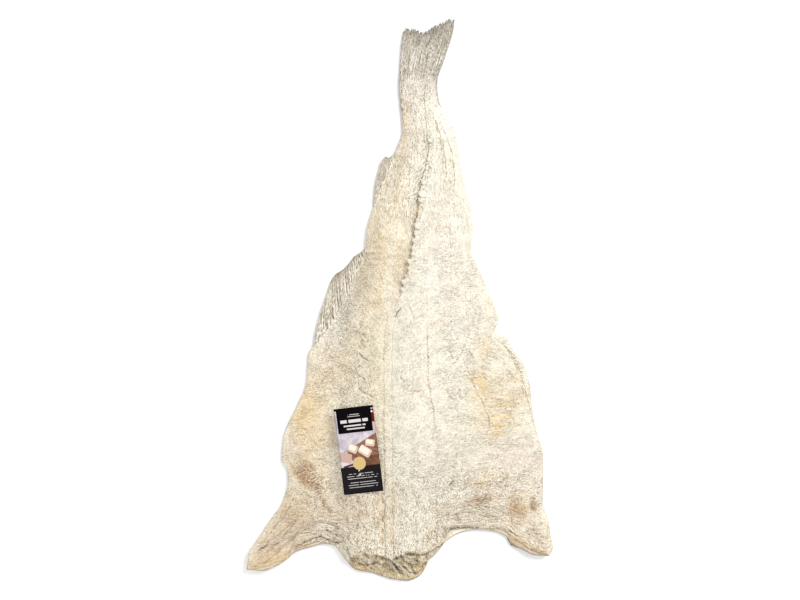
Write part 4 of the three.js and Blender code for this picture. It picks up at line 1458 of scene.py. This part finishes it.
def makeCard(material):
    c = card
    low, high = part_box("card_tag")
    middle = (low + high) / 2
    across, up = np.meshgrid(np.linspace(-0.5, 0.5, c["columns"] + 1), np.linspace(-0.5, 0.5, c["rows"] + 1))
    across, up = across * c["width"], up * c["length"]
    roll = Matrix.Rotation(-math.radians(c["roll"]), 3, "Y")
    turn = Matrix.Rotation(math.radians(c["turn"]), 3, "Z")
    spin = np.array(turn @ roll)
    rise = c["curl"] * (2 * up / c["length"]) ** 2 + c["wave"] * noise(across / 30, up / 34, 141)
    rise = rise - c["curl"] / 2

    def sheet(height):
        flat = np.stack([across, up, rise + height], axis=-1) @ spin.T
        return flat * mm + np.array(middle)

    masks = {"across": across, "up": up}
    return closedSheet("cardTag", sheet(c["thick"] / 2), sheet(-c["thick"] / 2), c["step"], material, masks)


class Print(Finish):  # flat colours laid on the card, in millimetres from its middle
    def __init__(self, name):
        super().__init__(name)
        self.across, self.up = self.mask("across"), self.mask("up")

    def rounded(self, x, y, halfWidth, halfHeight, turn=0.0, corner=0.0):  # distance outside a rounded oblong
        c, s = math.cos(math.radians(turn)), math.sin(math.radians(turn))
        dx, dy = self.across - x, self.up - y
        a, b = abs(dx * c + dy * s) - (halfWidth - corner), abs(dy * c - dx * s) - (halfHeight - corner)
        return (a.most(0.0) ** 2 + b.most(0.0) ** 2) ** 0.5 - corner

    def box(self, x, y, halfWidth, halfHeight, turn=0.0, corner=0.05):
        return 1 - self.rounded(x, y, halfWidth, halfHeight, turn, corner).between(-0.04, 0.12)

    def disc(self, x, y, radius):
        away = (self.across - x) ** 2 + (self.up - y) ** 2
        return 1 - away.between((radius - 0.1) ** 2, (radius + 0.15) ** 2)


def cardFinish():
    f = Print("printedCard")
    place = f.place()
    cloud = f.grain(f.stretched(place, 90, 60, 60, 30), 1, 3, 0.6, 0.6)
    wood = f.grain(f.stretched(place, 60, 500, 200, -18), 1, 3, 0.6, 0.4)
    black, paper, lilac = (6, 4, 5), (232, 228, 226), (172, 162, 172)
    charcoal = (26, 24, 26)
    f.colour = f.mix(cloud.between(0.35, 0.65), lilac, (206, 198, 203))
    f.paint(f.box(-20, -1, 11, 1.2, 24) * 0.5, (150, 140, 156))
    f.paint(f.box(-8, 20, 8, 0.9, 38) * 0.5, (176, 166, 176))
    brown = f.mix(wood.between(0.35, 0.65), (146, 110, 90), (104, 74, 58))
    f.paint(f.box(22, -2, 34, 19, 26, 3), brown)
    f.paint(f.box(22, -16, 16, 7, 4, 2), f.mix(1.0, brown, (214, 200, 190), "MULTIPLY"))
    f.paint(f.box(-20, -9, 9, 6.5, -16, 1.5), (188, 158, 146))
    f.paint(f.box(-14, -20, 10, 1.4, 12), (86, 56, 52))
    for x, y, halfWidth, halfHeight, turn in card["blocks"]:
        f.paint(f.box(x + 0.5, y - 1.6, halfWidth, halfHeight, turn, 2.2), (120, 78, 56))
        f.paint(f.box(x, y, halfWidth, halfHeight, turn, 2.2), (204, 178, 156))
        f.paint(f.box(x - 0.7, y + 1.4, halfWidth - 1.6, halfHeight - 2, turn, 1.8), (232, 218, 204))
    f.paint(f.box(0, 58.4, 28, 1.7), black)
    f.paint(f.box(25.6, 46, 2.4, 9), (92, 24, 26))
    f.paint(f.box(25.4, 51.5, 1.2, 1.2, 0, 0.9), paper)
    f.paint(f.box(25.6, 31, 2.4, 5.5), (196, 168, 160))
    f.paint(f.box(-0.5, 41, 24.6, 16.2, 0, 0.2), black)
    f.paint(f.box(0, -41.2, 28, 18.8), charcoal)
    pale = (206, 200, 198)
    for number, (x, y, halfWidth, halfHeight) in enumerate(card["bars"]):
        gaps = f.grain(f.stretched(place, 320 if halfHeight < 0.5 else 150, 20, 20, number * 7), 1, 1)
        f.paint(f.box(x, y, halfWidth, halfHeight, 0, 0.2) * gaps.between(0.36, 0.42), pale)
    f.paint(f.disc(-1, -18.5, 9.0), (198, 172, 116))
    f.paint(1 - f.mask("front").between(0.4, 0.9), paper)
    inputs = {"Base Color": f.colour, "Roughness": 0.6 + 0.1 * cloud, "Specular IOR Level": 0.04}
    return f.surface({**inputs, "Normal": f.bump(f.grain(place, 1500, 2), 0.00005)})


cardPiece = makeCard(cardFinish())
print("card tag:", len(cardPiece.data.polygons), "faces")


# Floor, light and camera

stage = {
    "floorSize": 8.0, "floorColour": (250, 250, 250), "distance": 2.66, "frameWidth": 1.12,
    "aim": (0.0002, -0.0017), "keyPower": 62, "keySize": 1.4, "keyAt": (1.5, 1.3, 2.0),
    "fillPower": 24, "fillSize": 2.5, "fillAt": (-1.8, -0.8, 2.2), "skyStrength": 0.75,
}


def makeFloor():
    f = Finish("paleFloor")
    colour = f.mix(f.grain(f.place(), 3, 2) * 0.05, stage["floorColour"], (244, 244, 242))
    finish = f.surface({"Base Color": colour, "Roughness": 0.8, "Specular IOR Level": 0.2})
    half = stage["floorSize"] / 2
    corners = [(-half, -half, 0), (half, -half, 0), (half, half, 0), (-half, half, 0)]
    makePiece("floor", corners, [(0, 1, 2, 3)], finish)


def makeLamp(name, place, size, power):
    lamp = bpy.data.objects.new(name, bpy.data.lights.new(name, "AREA"))
    lamp.data.shape = "DISK"
    lamp.data.size = size
    lamp.data.energy = power
    lamp.location = place
    lamp.rotation_euler = (-Vector(place)).to_track_quat("-Z", "Y").to_euler()
    bpy.context.scene.collection.objects.link(lamp)


def makeCamera():
    camera = bpy.data.objects.new("camera", bpy.data.cameras.new("camera"))
    aimX, aimY = stage["aim"]
    camera.location = (aimX, aimY, stage["distance"])
    camera.data.sensor_width = 36
    camera.data.lens = 36 * (stage["distance"] - 0.01) / stage["frameWidth"]
    bpy.context.scene.collection.objects.link(camera)
    bpy.context.scene.camera = camera


makeFloor()
makeLamp("keyLight", stage["keyAt"], stage["keySize"], stage["keyPower"])
makeLamp("fillLight", stage["fillAt"], stage["fillSize"], stage["fillPower"])
makeCamera()
world = bpy.data.worlds.new("sky")
world.use_nodes = True
world.node_tree.nodes["Background"].inputs["Color"].default_value = (1, 1, 1, 1)
world.node_tree.nodes["Background"].inputs["Strength"].default_value = stage["skyStrength"]
bpy.context.scene.world = world
bpy.context.scene.view_settings.view_transform = "Standard"


# The pieces, grouped by what they stand for, ride on the root body; the CAD parts they replace are hidden

fleshPieces = [fillets[side]["piece"] for side in fillets]
saltPieces = [fillets[side]["salt"] for side in fillets]
slots = {"dried_cod": fleshPieces + growths, "cod_skin": [skinPiece], "dried_fin": list(finPieces.values())}
slots |= {"sea_salt": saltPieces, "printed_card": [cardPiece]}
for slot, pieces in slots.items():
    for piece in pieces:
        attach(piece, "root")
for piece in fleshPieces:
    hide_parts("cod")
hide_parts("card_tag")

print("done")
